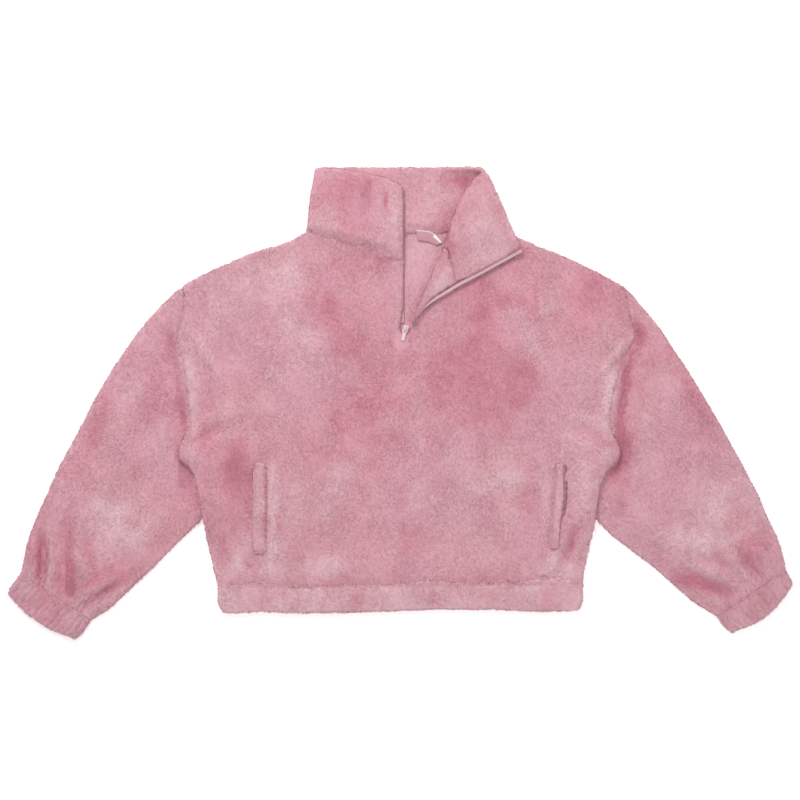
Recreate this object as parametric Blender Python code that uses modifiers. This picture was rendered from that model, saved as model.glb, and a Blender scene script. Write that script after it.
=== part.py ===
# Plush half-zip fleece, laid flat with its zip open and one side of the neck turned out
import math

import bmesh
import bpy
import numpy as np
from mathutils import Matrix, Vector
from mathutils.bvhtree import BVHTree

# Walls and gaps, in metres
CLOTH_WALL = 0.0040
CASING_WALL = 0.0050
COLLAR_WALL = 0.0076
WELT_WALL = 0.0032
TAPE_WALL = 0.0011
LABEL_WALL = 0.0010
SEAM_GAP = 0.0007
ARMHOLE_GAP = 0.0009
FOLD_GAP = 0.0028
LEAST_AIR = 0.0006
MOST_AIR = 0.0037
FRONT_AIR = 0.0016
SLEEVE_AIR = 0.0022

# Where the body lies on the sleeves below the armholes
SLEEVE_STACK = 0.0094
LIFT_INNER_X = 0.222
LIFT_OUTER_X = 0.258
LIFT_TOP_Y = -0.038
LIFT_FULL_TOP_Y = -0.066
LIFT_FULL_LOW_Y = -0.163
LIFT_LOW_Y = -0.208

# Zip and neck
CENTRE_X = 0.0077
SLIT_Y = 0.0935
LOWEST_ROLL_X = 0.1100
LEFT_EDGE_X = 0.0050
TAPE_SHOWN = 0.0066
BODY_ROLL = 0.0029
COLLAR_ROLL = 0.0043
COLLAR_TOP_Y = 0.3290
FLAP_EDGE_LOW = (0.0790, 0.1675)
FLAP_EDGE_HIGH = (0.1685, 0.2170)
SLIDER_Y = 0.1020
SLIDER_BASE_Z = 0.0046
SLIDER_TURN = math.radians(-14)
PULL_LENGTH = 0.0165
HINGE_RISE = 0.0009

GATHERS_ON_CUFF = 13
GATHERS_ON_HEM = 13
GATHER_HEIGHT = 0.0009

# How a sleeve's sections run: columns across it, the bow of those near the armpit, and where
# they stop following the armhole
SLEEVE_COLUMNS = 22
SLEEVE_FOLD = CLOTH_WALL + LEAST_AIR / 2
SLEEVE_BOW = 0.032
SLEEVE_BOWED_RINGS = 8
ARMHOLE_RINGS = 3
ARMHOLE_FOLLOWED = 0.75
ARMPIT_LENGTH = 0.15

# The hem band's sections: share of its depth, left end, right end, swell
HEM_ROWS = [
    (0.00, -0.2555, 0.2565, 0.0),
    (0.30, -0.2565, 0.2572, 0.8),
    (0.70, -0.2545, 0.2560, 1.0),
    (1.00, -0.2465, 0.2495, 0.3),
]
HEM_COLUMNS = 38
HEM_LEFT_X = -0.2512
HEM_RIGHT_X = 0.2524

# The left tape's ends, and how far each tape stands off the cloth it is sewn to
LEFT_TAPE_LOW_Y = 0.1095
LEFT_TAPE_TOP_Y = 0.2990
TAPE_OFF_FRONT = 0.0015
TAPE_OFF_COLLAR = 0.0006
RIGHT_TAPE_START = 0.78

# The loop label
LABEL_LEFT_X = 0.0220
LABEL_RIGHT_X = 0.0570
LABEL_TOP_Y = 0.2371
LABEL_LOW_Y = 0.2225

# Visible side edges of the body: height, left x, right x
BODY_SIDES = [
    (-0.257, -0.2560, 0.2570),
    (-0.239, -0.2600, 0.2580),
    (-0.217, -0.2650, 0.2630),
    (-0.195, -0.2700, 0.2670),
    (-0.172, -0.2740, 0.2730),
    (-0.140, -0.2800, 0.2770),
    (-0.110, -0.2860, 0.2830),
    (-0.090, -0.2930, 0.2940),
    (-0.074, -0.3040, 0.3010),
    (-0.056, -0.3000, 0.2970),
    (-0.036, -0.2940, 0.2930),
    (-0.006, -0.2950, 0.2950),
    (0.018, -0.2970, 0.2980),
    (0.042, -0.3000, 0.3050),
    (0.062, -0.3040, 0.3140),
    (0.078, -0.3080, 0.3210),
    (0.095, -0.3120, 0.3290),
    (0.115, -0.3070, 0.3230),
    (0.137, -0.3010, 0.3190),
    (0.164, -0.3040, 0.3110),
]

# Shoulders and neck seam: x, height on the front, height on the back
TOP_EDGE = [
    (-0.3040, 0.1640, 0.1640),
    (-0.2860, 0.1750, 0.1750),
    (-0.2650, 0.1860, 0.1860),
    (-0.2370, 0.1970, 0.1970),
    (-0.2110, 0.2090, 0.2090),
    (-0.1720, 0.2200, 0.2200),
    (-0.1440, 0.2310, 0.2310),
    (-0.1310, 0.2400, 0.2400),
    (-0.0980, 0.2320, 0.2395),
    (-0.0640, 0.2190, 0.2385),
    (-0.0380, 0.2080, 0.2380),
    (-0.0110, 0.2010, 0.2375),
    (0.0265, 0.2010, 0.2375),
    (0.0510, 0.2080, 0.2380),
    (0.0770, 0.2190, 0.2385),
    (0.1110, 0.2320, 0.2395),
    (0.1430, 0.2400, 0.2400),
    (0.1670, 0.2310, 0.2310),
    (0.1920, 0.2200, 0.2200),
    (0.2210, 0.2090, 0.2090),
    (0.2460, 0.1970, 0.1970),
    (0.2730, 0.1860, 0.1860),
    (0.2930, 0.1750, 0.1750),
    (0.3110, 0.1640, 0.1640),
]

# Seam of body and hem band, and the band's lower edge: x, height
HEM_SEAM = [
    (-0.256, -0.2600),
    (-0.198, -0.2535),
    (-0.141, -0.2615),
    (-0.084, -0.2570),
    (-0.030, -0.2570),
    (0.049, -0.2510),
    (0.113, -0.2550),
    (0.163, -0.2530),
    (0.216, -0.2460),
    (0.257, -0.2560),
]
HEM_EDGE = [
    (-0.246, -0.2970),
    (-0.195, -0.2940),
    (-0.141, -0.2960),
    (-0.030, -0.2940),
    (0.041, -0.2910),
    (0.124, -0.2910),
    (0.213, -0.2940),
    (0.250, -0.2930),
]

# The turned-back right front: height at the zip, roll x, cloth edge x, cloth edge y, share of a half turn
FRONT_TURN = [
    (0.0965, 0.0246, 0.0138, 0.0965, 0.00),
    (0.1040, 0.0256, 0.0158, 0.1040, 0.00),
    (0.1110, 0.0270, 0.0186, 0.1110, 0.10),
    (0.1180, 0.0288, 0.0222, 0.1176, 0.28),
    (0.1240, 0.0304, 0.0256, 0.1230, 0.48),
    (0.1300, 0.0324, 0.0290, 0.1282, 0.68),
    (0.1400, 0.0360, 0.0350, 0.1355, 0.90),
    (0.1530, 0.0420, 0.0440, 0.1440, 1.00),
    (0.1680, 0.0490, 0.0545, 0.1515, 1.00),
    (0.1850, 0.0565, 0.0668, 0.1590, 1.00),
    (0.2005, 0.0650, 0.0788, 0.1665, 1.00),
]

# The collar's rows: share of its height, left fold x, right fold x, roll x, rise of the back at the right
COLLAR_ROWS = [
    (0.00, -0.1230, 0.1430, 0.0665, 0.0),
    (0.15, -0.1222, 0.1410, 0.0730, 0.0),
    (0.32, -0.1210, 0.1370, 0.0790, 0.0),
    (0.50, -0.1190, 0.1310, 0.0880, 0.0),
    (0.66, -0.1170, 0.1250, 0.0965, 0.0),
    (0.82, -0.1145, 0.1180, 0.1060, 0.0),
]

# Top of the collar's left front: x, height
COLLAR_FRONT_TOP = [
    (-0.1150, 0.3285),
    (-0.0800, 0.3260),
    (-0.0290, 0.3170),
    (-0.0030, 0.3110),
    (0.0050, 0.3020),
]

# Sleeves: outer edge x, y and inner edge x, y, from the armhole to the cuff
SLEEVE_LEFT = [
    (-0.3050, 0.1625, -0.3012, -0.0575),
    (-0.3290, 0.1410, -0.3085, -0.0670),
    (-0.3600, 0.1080, -0.3060, -0.0790),
    (-0.3850, 0.0740, -0.2930, -0.0920),
    (-0.4070, 0.0410, -0.2770, -0.1090),
    (-0.4270, 0.0070, -0.2680, -0.1290),
    (-0.4440, -0.0270, -0.2680, -0.1490),
    (-0.4620, -0.0600, -0.2765, -0.1655),
    (-0.4790, -0.0940, -0.2910, -0.1780),
    (-0.4940, -0.1270, -0.3120, -0.1990),
    (-0.5100, -0.1610, -0.3400, -0.2270),
    (-0.5220, -0.1950, -0.3710, -0.2560),
    (-0.5290, -0.2250, -0.4030, -0.2880),
    (-0.5314, -0.2416, -0.4329, -0.3061),
]
SLEEVE_RIGHT = [
    (0.3120, 0.1625, 0.2985, -0.0575),
    (0.3330, 0.1390, 0.3060, -0.0670),
    (0.3610, 0.1080, 0.3030, -0.0790),
    (0.3840, 0.0740, 0.2920, -0.0920),
    (0.4060, 0.0410, 0.2760, -0.1090),
    (0.4270, 0.0070, 0.2670, -0.1290),
    (0.4470, -0.0270, 0.2670, -0.1490),
    (0.4650, -0.0600, 0.2755, -0.1660),
    (0.4830, -0.0940, 0.2910, -0.1830),
    (0.5010, -0.1270, 0.3180, -0.2040),
    (0.5150, -0.1610, 0.3490, -0.2270),
    (0.5310, -0.1950, 0.3810, -0.2540),
    (0.5395, -0.2230, 0.4130, -0.2830),
    (0.5404, -0.2361, 0.4434, -0.3001),
]

# Cuffs: outer edge x, y, inner edge x, y, bow outwards, swell
CUFF_LEFT = [
    (-0.5313, -0.2422, -0.4334, -0.3066, 0.0000, 0.0),
    (-0.5390, -0.2505, -0.4375, -0.3140, 0.0030, 0.8),
    (-0.5470, -0.2600, -0.4450, -0.3245, 0.0060, 1.0),
    (-0.5500, -0.2690, -0.4560, -0.3321, 0.0085, 0.3),
]
CUFF_RIGHT = [
    (0.5403, -0.2367, 0.4438, -0.3006, 0.0000, 0.0),
    (0.5455, -0.2425, 0.4500, -0.3090, 0.0030, 0.8),
    (0.5490, -0.2490, 0.4570, -0.3170, 0.0065, 1.0),
    (0.5500, -0.2580, 0.4660, -0.3240, 0.0095, 0.3),
]

# Folds: start x, y, end x, y, half width, height (below zero is a trough)
FRONT_FOLDS = [
    (-0.222, -0.222, -0.197, -0.250, 0.008, -0.0010),
    (-0.234, -0.205, -0.214, -0.243, 0.009, 0.0011),
    (0.252, -0.172, 0.224, -0.235, 0.009, -0.0010),
    (0.238, -0.160, 0.206, -0.228, 0.010, 0.0009),
    (0.322, 0.090, 0.308, 0.072, 0.009, 0.0016),
    (0.308, 0.072, 0.272, 0.030, 0.011, 0.0013),
    (-0.290, 0.098, -0.262, 0.060, 0.012, 0.0009),
    (-0.150, 0.150, -0.095, 0.040, 0.024, 0.0007),
    (0.190, 0.130, 0.120, 0.000, 0.026, 0.0007),
    (-0.060, -0.060, -0.110, -0.180, 0.022, 0.0006),
    (0.060, -0.040, 0.095, -0.170, 0.022, 0.0006),
]
LEFT_FOLDS = [
    (-0.503, -0.190, -0.496, -0.225, 0.007, -0.0017),
    (-0.496, -0.225, -0.503, -0.258, 0.007, -0.0017),
    (-0.480, -0.155, -0.483, -0.212, 0.007, 0.0014),
    (-0.457, -0.150, -0.465, -0.179, 0.007, -0.0013),
    (-0.465, -0.179, -0.458, -0.262, 0.007, -0.0017),
    (-0.450, -0.205, -0.440, -0.240, 0.009, 0.0013),
    (-0.395, -0.256, -0.440, -0.284, 0.007, -0.0015),
    (-0.392, -0.238, -0.432, -0.262, 0.009, 0.0009),
    (-0.345, 0.060, -0.395, -0.040, 0.020, 0.0008),
    (-0.372, -0.090, -0.420, -0.180, 0.018, -0.0007),
]
RIGHT_FOLDS = [
    (0.397, -0.241, 0.429, -0.254, 0.008, -0.0017),
    (0.429, -0.254, 0.471, -0.266, 0.008, -0.0019),
    (0.400, -0.222, 0.462, -0.243, 0.009, 0.0013),
    (0.480, -0.225, 0.506, -0.246, 0.007, -0.0016),
    (0.486, -0.200, 0.522, -0.226, 0.009, 0.0011),
    (0.360, 0.060, 0.405, -0.040, 0.020, 0.0008),
    (0.380, -0.100, 0.440, -0.190, 0.018, -0.0007),
]

# Pocket welts along the free edge: y, outer x, seam x
WELT_LEFT = [
    (-0.0840, -0.2010, -0.1890),
    (-0.0930, -0.2065, -0.1886),
    (-0.1500, -0.2065, -0.1884),
    (-0.2090, -0.2060, -0.1888),
]
WELT_RIGHT = [
    (-0.0860, 0.2290, 0.2190),
    (-0.1340, 0.2290, 0.2168),
    (-0.1660, 0.2250, 0.2140),
    (-0.2060, 0.2215, 0.2110),
]

# Colour, roughness
ROSE_PLUSH = ((0.62, 0.31, 0.37), 0.95)
ROSE_PLUSH_DEEP = ((0.55, 0.26, 0.32), 0.95)
TAPE_WEAVE = ((0.72, 0.44, 0.49), 0.75)
PALE_METAL = ((0.80, 0.58, 0.62), 0.35)
SATIN_WHITE = ((0.86, 0.80, 0.81), 0.45)


def ease(t):
    """0 below 0, 1 above 1, smooth between."""
    t = min(max(t, 0.0), 1.0)
    return t * t * (3 - 2 * t)


def mix(a, b, t):
    return a + (b - a) * t


def read(rows, column, key):
    """The column's value at a key in the first column, straight between rows."""
    return float(np.interp(key, [row[0] for row in rows], [row[column] for row in rows]))


def read_smooth(rows, column, key):
    """The same on a smooth curve through the rows."""
    keys = np.array([row[0] for row in rows])
    values = np.array([row[column] for row in rows])
    slopes = np.gradient(values, keys)
    key = min(max(key, keys[0]), keys[-1])
    i = min(int(np.searchsorted(keys, key, side="right")) - 1, len(keys) - 2)
    step = keys[i + 1] - keys[i]
    t = (key - keys[i]) / step
    return float(
        (2 * t**3 - 3 * t**2 + 1) * values[i]
        + (t**3 - 2 * t**2 + t) * step * slopes[i]
        + (3 * t**2 - 2 * t**3) * values[i + 1]
        + (t**3 - t**2) * step * slopes[i + 1]
    )


def fold_height(folds, x, y):
    """Sum of soft ridges and troughs along straight lines."""
    height = 0.0
    for x0, y0, x1, y1, width, rise in folds:
        along_x, along_y = x1 - x0, y1 - y0
        t = ((x - x0) * along_x + (y - y0) * along_y) / (along_x**2 + along_y**2)
        t = min(max(t, 0.0), 1.0)
        away = math.hypot(x - x0 - t * along_x, y - y0 - t * along_y)
        height += rise * math.exp(-((away / width) ** 2))
    return height


# The body's rows and columns: each column is named by the x at which it reaches the top edge

LEFT_TOPS = (-0.304, -0.272, -0.240, -0.208, -0.176, -0.152, -0.131, -0.106, -0.081,
             -0.056, -0.034, -0.014, LEFT_EDGE_X)
ROLL_TOP_X = FRONT_TURN[-1][1]
MIDDLE_TOPS = tuple(mix(LEFT_EDGE_X, ROLL_TOP_X, k / 8) for k in range(1, 8))
RIGHT_TOPS = (ROLL_TOP_X, 0.084, 0.104, 0.124, 0.143, 0.168, 0.196, 0.226, 0.256, 0.285, 0.311)
BACK_TOPS = (LEFT_TOPS[:7] + LEFT_TOPS[8::2] + MIDDLE_TOPS[1::2] + RIGHT_TOPS[:3:2]
             + RIGHT_TOPS[4:])
SIDE_HEIGHTS = (-0.257, -0.250, -0.240, -0.222, -0.196, -0.168, -0.142, -0.118, -0.100,
                -0.087, -0.074, -0.057, -0.036, -0.010, 0.018, 0.042)
LOW_Y, SIDE_TOP_Y, NECK_Y = -0.257, 0.164, 0.2005


def zip_share(y):
    """The row's share of the height where it meets the zip at this y."""
    return (y - LOW_Y) / (NECK_Y - LOW_Y)


# Rows of the front: even along the side, then one for each row of the turn. The back has fewer.
FRONT_SHARES = [(y - LOW_Y) / (SIDE_TOP_Y - LOW_Y) for y in SIDE_HEIGHTS]
FRONT_SHARES += [zip_share(SLIT_Y)] + [zip_share(row[0]) for row in FRONT_TURN]
BACK_SHARES = FRONT_SHARES[:17] + FRONT_SHARES[18:26:2] + FRONT_SHARES[26:]


def smooth_side(share, column):
    return read_smooth(BODY_SIDES, column, mix(LOW_Y, SIDE_TOP_Y, share))


SIDE_LINE = [(share, smooth_side(share, 1), smooth_side(share, 2)) for share in BACK_SHARES]


def left_x(top_x, share, centre):
    part = (top_x - LEFT_EDGE_X) / (LEFT_TOPS[0] - LEFT_EDGE_X)
    return mix(centre, read(SIDE_LINE, 1, share), part)


def right_x(top_x, share, roll_x):
    part = (top_x - RIGHT_TOPS[0]) / (RIGHT_TOPS[-1] - RIGHT_TOPS[0])
    return mix(roll_x, read(SIDE_LINE, 2, share), part)


def lowest_x(top_x):
    """Where the column that reaches the top edge at top_x starts at the hem."""
    if top_x < LEFT_EDGE_X:
        return left_x(top_x, 0.0, CENTRE_X)
    if top_x < RIGHT_TOPS[0]:
        part = (top_x - LEFT_EDGE_X) / (RIGHT_TOPS[0] - LEFT_EDGE_X)
        return mix(CENTRE_X, LOWEST_ROLL_X, part)
    return right_x(top_x, 0.0, LOWEST_ROLL_X)


HEM_LINE = [(lowest_x(top_x), read_smooth(HEM_SEAM, 1, lowest_x(top_x))) for top_x in BACK_TOPS]


def body_row_y(top_x, share, column):
    """Height of the column that reaches the top edge at top_x, on the row at this share."""
    low = read(HEM_LINE, 1, lowest_x(top_x)) + SEAM_GAP / 2
    return mix(low, read(TOP_EDGE, column, top_x) - SEAM_GAP / 2, share)


def body_edge_x(y, column):
    """The body's side edge at a height, on the same straight pieces as its rows."""
    top_x = LEFT_TOPS[0] if column == 1 else RIGHT_TOPS[-1]
    low, high = body_row_y(top_x, 0.0, 1), body_row_y(top_x, 1.0, 1)
    return read(SIDE_LINE, column, (y - low) / (high - low))


# Heights of the layers above the surface they lie on


def body_lift(x, y):
    """How far the body is raised by the sleeves that run under its sides."""
    sideways = ease((abs(x) - LIFT_INNER_X) / (LIFT_OUTER_X - LIFT_INNER_X))
    above = ease((LIFT_TOP_Y - y) / (LIFT_TOP_Y - LIFT_FULL_TOP_Y))
    below = ease((y - LIFT_LOW_Y) / (LIFT_FULL_LOW_Y - LIFT_LOW_Y))
    return SLEEVE_STACK * sideways * above * below


def back_mid(x, y):
    return CLOTH_WALL / 2 + body_lift(x, y)


def side_distance(x, y):
    return min(x - read_smooth(BODY_SIDES, 1, y), read_smooth(BODY_SIDES, 2, y) - x)


def front_air(x, y):
    """Air between back and front: puffs, folds, the blouse over the hem and the edges."""
    air = FRONT_AIR + fold_height(FRONT_FOLDS, x, y)
    above_hem = y - read(HEM_LINE, 1, x)
    air += 0.0018 * ease(above_hem / 0.010) * (1 - ease((above_hem - 0.022) / 0.050))
    below_neck = read(TOP_EDGE, 1, x) - y
    air += 0.0016 * ease((abs(x - CENTRE_X) - 0.020) / 0.035) * (1 - ease(below_neck / 0.030))
    if y > -0.050:
        inside = side_distance(x, y)
        air += 0.0014 * math.exp(-(((inside - 0.009) / 0.006) ** 2))
    if y > SLIT_Y and -0.016 < x < CENTRE_X:
        air = max(air, 0.0024)
    near_pull = math.hypot((x - 0.004) / 0.013, (y - 0.086) / 0.013)
    air = mix(0.0009, air, ease(near_pull - 0.6))
    air = mix(LEAST_AIR, air, ease(side_distance(x, y) / 0.012 + 0.15))
    return min(max(air, LEAST_AIR), MOST_AIR)


def front_mid(x, y):
    return back_mid(x, y) + CLOTH_WALL + front_air(x, y)


def front_top(x, y):
    return front_mid(x, y) + CLOTH_WALL / 2


def neck_floor(y, step_y=0.211, run=0.011):
    """Top of what lies under the front half of the collar: back panel, then back collar."""
    return mix(CLOTH_WALL, COLLAR_WALL, ease((y - step_y) / run))


def collar_front_mid(x, y):
    tape_room = 0.0016 * ease((x + 0.018) / 0.008) * (1 - ease((x - 0.006) / 0.006))
    return neck_floor(y) + 0.0009 + tape_room + COLLAR_WALL / 2


def flap_mid(x, y):
    """Height of the turned-out collar half over the collar, then over the front."""
    over_front = front_top(x, y) + 0.0009 + COLLAR_WALL / 2
    over_collar = collar_front_mid(0.1, y) + 2 * COLLAR_ROLL
    return mix(over_front, over_collar, ease((y - read(TOP_EDGE, 1, x) + 0.030) / 0.028))


# Building blocks


def clear_scene():
    for obj in list(bpy.data.objects):
        bpy.data.objects.remove(obj, do_unlink=True)
    fleece = bpy.data.collections.new("zip_fleece")
    cutters = bpy.data.collections.new("cutters")
    bpy.context.scene.collection.children.link(fleece)
    bpy.context.scene.collection.children.link(cutters)
    return fleece, cutters


def make_material(name, look, metallic=0.0):
    colour, roughness = look
    material = bpy.data.materials.new(name)
    material.use_nodes = True
    shader = material.node_tree.nodes["Principled BSDF"]
    shader.inputs["Base Color"].default_value = (*colour, 1.0)
    shader.inputs["Roughness"].default_value = roughness
    shader.inputs["Metallic"].default_value = metallic
    return material


def new_object(name, mesh, collection, look, metallic=0.0):
    obj = bpy.data.objects.new(name, mesh)
    mesh.materials.append(make_material(name, look, metallic))
    collection.objects.link(obj)
    mesh.shade_smooth()
    mesh.set_sharp_from_angle(angle=math.radians(50))
    return obj


def grid_mesh(name, grids, closed=False):
    """A surface through rows of points. Grids that share an edge are joined there."""
    bm = bmesh.new()
    for rows in grids:
        lines = [[bm.verts.new(point) for point in row] for row in rows]
        for low, high in zip(lines, lines[1:]):
            count = len(low) if closed else len(low) - 1
            for i in range(count):
                j = (i + 1) % len(low)
                bm.faces.new((low[i], low[j], high[j], high[i]))
    bmesh.ops.remove_doubles(bm, verts=bm.verts, dist=0.000001)
    mesh = bpy.data.meshes.new(name)
    bm.to_mesh(mesh)
    bm.free()
    return mesh


def cloth_object(name, grids, wall, collection, look, closed=False):
    obj = new_object(name, grid_mesh(name, grids, closed), collection, look)
    solidify = obj.modifiers.new("wall", "SOLIDIFY")
    solidify.thickness = wall
    solidify.offset = 0.0
    return obj


# The body


def roll_at(share):
    """Where the right front rolls over; lower down the same column spreads out to the side."""
    slit_share = zip_share(SLIT_Y)
    if share > slit_share:
        return read(FRONT_TURN, 1, mix(LOW_Y, NECK_Y, share))
    return mix(LOWEST_ROLL_X, FRONT_TURN[0][1], ease(share / slit_share))


def back_x(top_x, share):
    roll_x = roll_at(share)
    if top_x <= LEFT_EDGE_X:
        return left_x(top_x, share, CENTRE_X)
    if top_x < RIGHT_TOPS[0]:
        part = (top_x - LEFT_EDGE_X) / (RIGHT_TOPS[0] - LEFT_EDGE_X)
        return mix(CENTRE_X, roll_x, part)
    return right_x(top_x, share, roll_x)


def make_back(collection):
    rows = []
    for share in BACK_SHARES:
        row = []
        for top_x in BACK_TOPS:
            x, y = back_x(top_x, share), body_row_y(top_x, share, 2)
            row.append((x, y, back_mid(x, y)))
        rows.append(row)
    return cloth_object("back_panel", [rows], CLOTH_WALL, collection, ROSE_PLUSH_DEEP)


def slit_left_x(y):
    """Left edge of the slit: rounded at its foot, where the slider sits."""
    foot = mix(CENTRE_X, 0.0016, ease((y - SLIT_Y) / 0.0022))
    return mix(foot, LEFT_EDGE_X, ease((y - 0.109) / 0.008))


def turned_row(roll_x, roll_y, edge, turn):
    """From the cloth's free edge to the roll: the flap, then the bend, as far as it is turned."""
    bend = math.pi * turn
    length = mix(0.0055, math.pi * BODY_ROLL, turn)
    ground = front_mid(roll_x, roll_y)
    arc = []
    for k in range(5):
        heading = bend * k / 4
        if bend < 0.01:
            arc.append((roll_x - length * k / 4, roll_y, ground))
            continue
        radius = length / bend
        x = roll_x - radius * math.sin(heading)
        arc.append((x, roll_y, ground + radius * (1 - math.cos(heading))))
    last = arc[-1]
    rise = 0.0045 * math.sin(bend)
    flap = []
    for k in range(4, 0, -1):
        t = k / 4
        x, y = mix(last[0], edge[0], t), mix(last[1], edge[1], t)
        settled = front_mid(x, y) - front_mid(last[0], last[1])
        flap.append((x, y, last[2] + rise * t + settled * turn))
    return flap + arc[::-1]


def front_rows():
    """Left and right half of the front, row by row from the hem to the neck."""
    left, right = [], []
    for share in FRONT_SHARES:
        zip_y = mix(LOW_Y, NECK_Y, share)
        above = share > zip_share(SLIT_Y) + 0.0001
        centre = slit_left_x(zip_y) if above else CENTRE_X
        row = []
        for top_x in LEFT_TOPS:
            x, y = left_x(top_x, share, centre), body_row_y(top_x, share, 1)
            row.append((x, y, front_mid(x, y)))
        left.append(row)

        roll_x = roll_at(share)
        if above:
            edge = (read(FRONT_TURN, 2, zip_y), read(FRONT_TURN, 3, zip_y))
            roll_y = body_row_y(RIGHT_TOPS[0], share, 1)
            row = turned_row(roll_x, roll_y, edge, read(FRONT_TURN, 4, zip_y))
        else:
            row = []
            for top_x in (LEFT_EDGE_X, *MIDDLE_TOPS, RIGHT_TOPS[0]):
                x, y = back_x(top_x, share), body_row_y(top_x, share, 1)
                row.append((x, y, front_mid(x, y)))
        for top_x in RIGHT_TOPS[1:]:
            x, y = right_x(top_x, share, roll_x), body_row_y(top_x, share, 1)
            row.append((x, y, front_mid(x, y)))
        right.append(row)
    return left, right


def make_front(collection):
    left, right = front_rows()
    obj = cloth_object("front_panel", [left, right], CLOTH_WALL, collection, ROSE_PLUSH)
    return obj, right


# The collar, one strip from the left front edge, round the back, to the turned-out right front


def collar_y(x, share, top_y):
    return mix(read(TOP_EDGE, 1, x) + SEAM_GAP / 2, top_y, share)


def bend_points(x, y_start, y_end, z_start, z_end, way):
    """Half a turn between two layers, bulging left (way -1) or right (way 1)."""
    radius = (z_end - z_start) / 2
    points = []
    for k in range(1, 5):
        heading = math.pi * k / 4
        points.append((
            x + way * abs(radius) * math.sin(heading),
            mix(y_start, y_end, k / 4),
            z_start + radius * (1 - math.cos(heading)),
        ))
    return points


def collar_start(share, left_x):
    """Left front, from the zip to the left fold, and the left fold itself."""
    points = []
    for k in range(7):
        x = mix(LEFT_EDGE_X, left_x, (k / 6) ** 0.85)
        y = collar_y(x - 0.008 * ease(k - 5), share, read(COLLAR_FRONT_TOP, 1, x))
        points.append((x, y, collar_front_mid(x, y)))
    x, y, z = points[-1]
    back_y = mix(read(TOP_EDGE, 2, left_x - 0.008) + SEAM_GAP / 2, COLLAR_TOP_Y, share)
    points += bend_points(left_x, y, back_y, z, COLLAR_WALL / 2, -1)
    return points


def collar_back(share, left_x, right_x, rise):
    points = []
    for k in range(1, 9):
        x = mix(left_x, right_x, k / 8)
        y = mix(read(TOP_EDGE, 2, x) + SEAM_GAP / 2, COLLAR_TOP_Y, share)
        z = COLLAR_WALL / 2 + rise * ease((x - 0.045) / (right_x - 0.045))
        points.append((x, y, z))
    return points


def collar_flap(start, share):
    """The turned-out half, straight in plan from the roll to its free edge."""
    end_x = mix(FLAP_EDGE_LOW[0], FLAP_EDGE_HIGH[0], share)
    end_y = mix(FLAP_EDGE_LOW[1], FLAP_EDGE_HIGH[1], share)
    step = start[2] - flap_mid(start[0], start[1])
    points = []
    for k in range(1, 7):
        t = k / 6
        x, y = mix(start[0], end_x, t), mix(start[1], end_y, t)
        points.append((x, y, flap_mid(x, y) + step * (1 - t) ** 2))
    return points


def collar_row(share, left_x, right_x, roll_x, rise):
    row = collar_start(share, left_x) + collar_back(share, left_x, right_x, rise)
    x, y, z = row[-1]
    under_y = collar_y(right_x, share, 0.3265)
    row += bend_points(right_x, y, under_y, z, collar_front_mid(right_x, under_y), 1)
    for k in range(1, 4):
        x = mix(right_x, roll_x, k / 3)
        y = collar_y(x, share, 0.3265)
        row.append((x, y, collar_front_mid(x, y)))
    x, y, z = row[-1]
    row += bend_points(roll_x, y, y, z, z + 2 * COLLAR_ROLL, -1)
    return row + collar_flap(row[-1], share)


def collar_step_row(share, left_x, right_x):
    """Just below the top edge, where the hidden pleat is closing: a step of two quarter turns."""
    row = collar_start(share, left_x) + collar_back(share, left_x, right_x, 0.0040)
    x, y, z = row[-1]
    steepest = math.radians(104)
    for k in range(1, 5):
        heading = steepest * k / 4
        row.append((x + COLLAR_ROLL * math.sin(heading), y - 0.0004 * k,
                    z + COLLAR_ROLL * (1 - math.cos(heading))))
    x, y, z = row[-1]
    for k in range(1, 4):
        row.append((x + 0.0010 * k * math.cos(steepest), y, z + 0.0010 * k * math.sin(steepest)))
    x, y, z = row[-1]
    for k in range(1, 5):
        heading = steepest * (1 - k / 4)
        row.append((
            x + COLLAR_ROLL * (math.sin(steepest) - math.sin(heading)),
            y - 0.0004 * k,
            z + COLLAR_ROLL * (math.cos(heading) - math.cos(steepest)),
        ))
    return row + collar_flap(row[-1], share)


def collar_top_row():
    """The free top edge, which passes over the hidden pleat and turns down the flap."""
    left_x, right_x = -0.1120, 0.1020
    row = collar_start(1.0, left_x) + collar_back(1.0, left_x, right_x, 0.0140)
    x, y, z = row[-1]
    for k in range(1, 12):
        t = k / 11
        row.append((mix(x, 0.1230, t ** 0.8), mix(y, 0.3200, t ** 1.9), z + 0.0008 * t))
    return row + collar_flap(row[-1], 1.0)


def make_collar(collection):
    rows = [collar_row(*row) for row in COLLAR_ROWS]
    rows.append(collar_step_row(0.91, -0.1132, 0.1135))
    rows.append(collar_top_row())
    obj = cloth_object("collar", [rows], COLLAR_WALL, collection, ROSE_PLUSH)
    return obj, rows


# Sleeves, cuffs and hem band, flat tubes


def stops(count, kept=()):
    """Shares from 0 to 1, even but for those nearest the kept ones, which move onto them."""
    shares = [k / count for k in range(count + 1)]
    for share in kept:
        k = round(share * count)
        if 0 < k < count:
            shares[k] = share
    return shares


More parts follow.
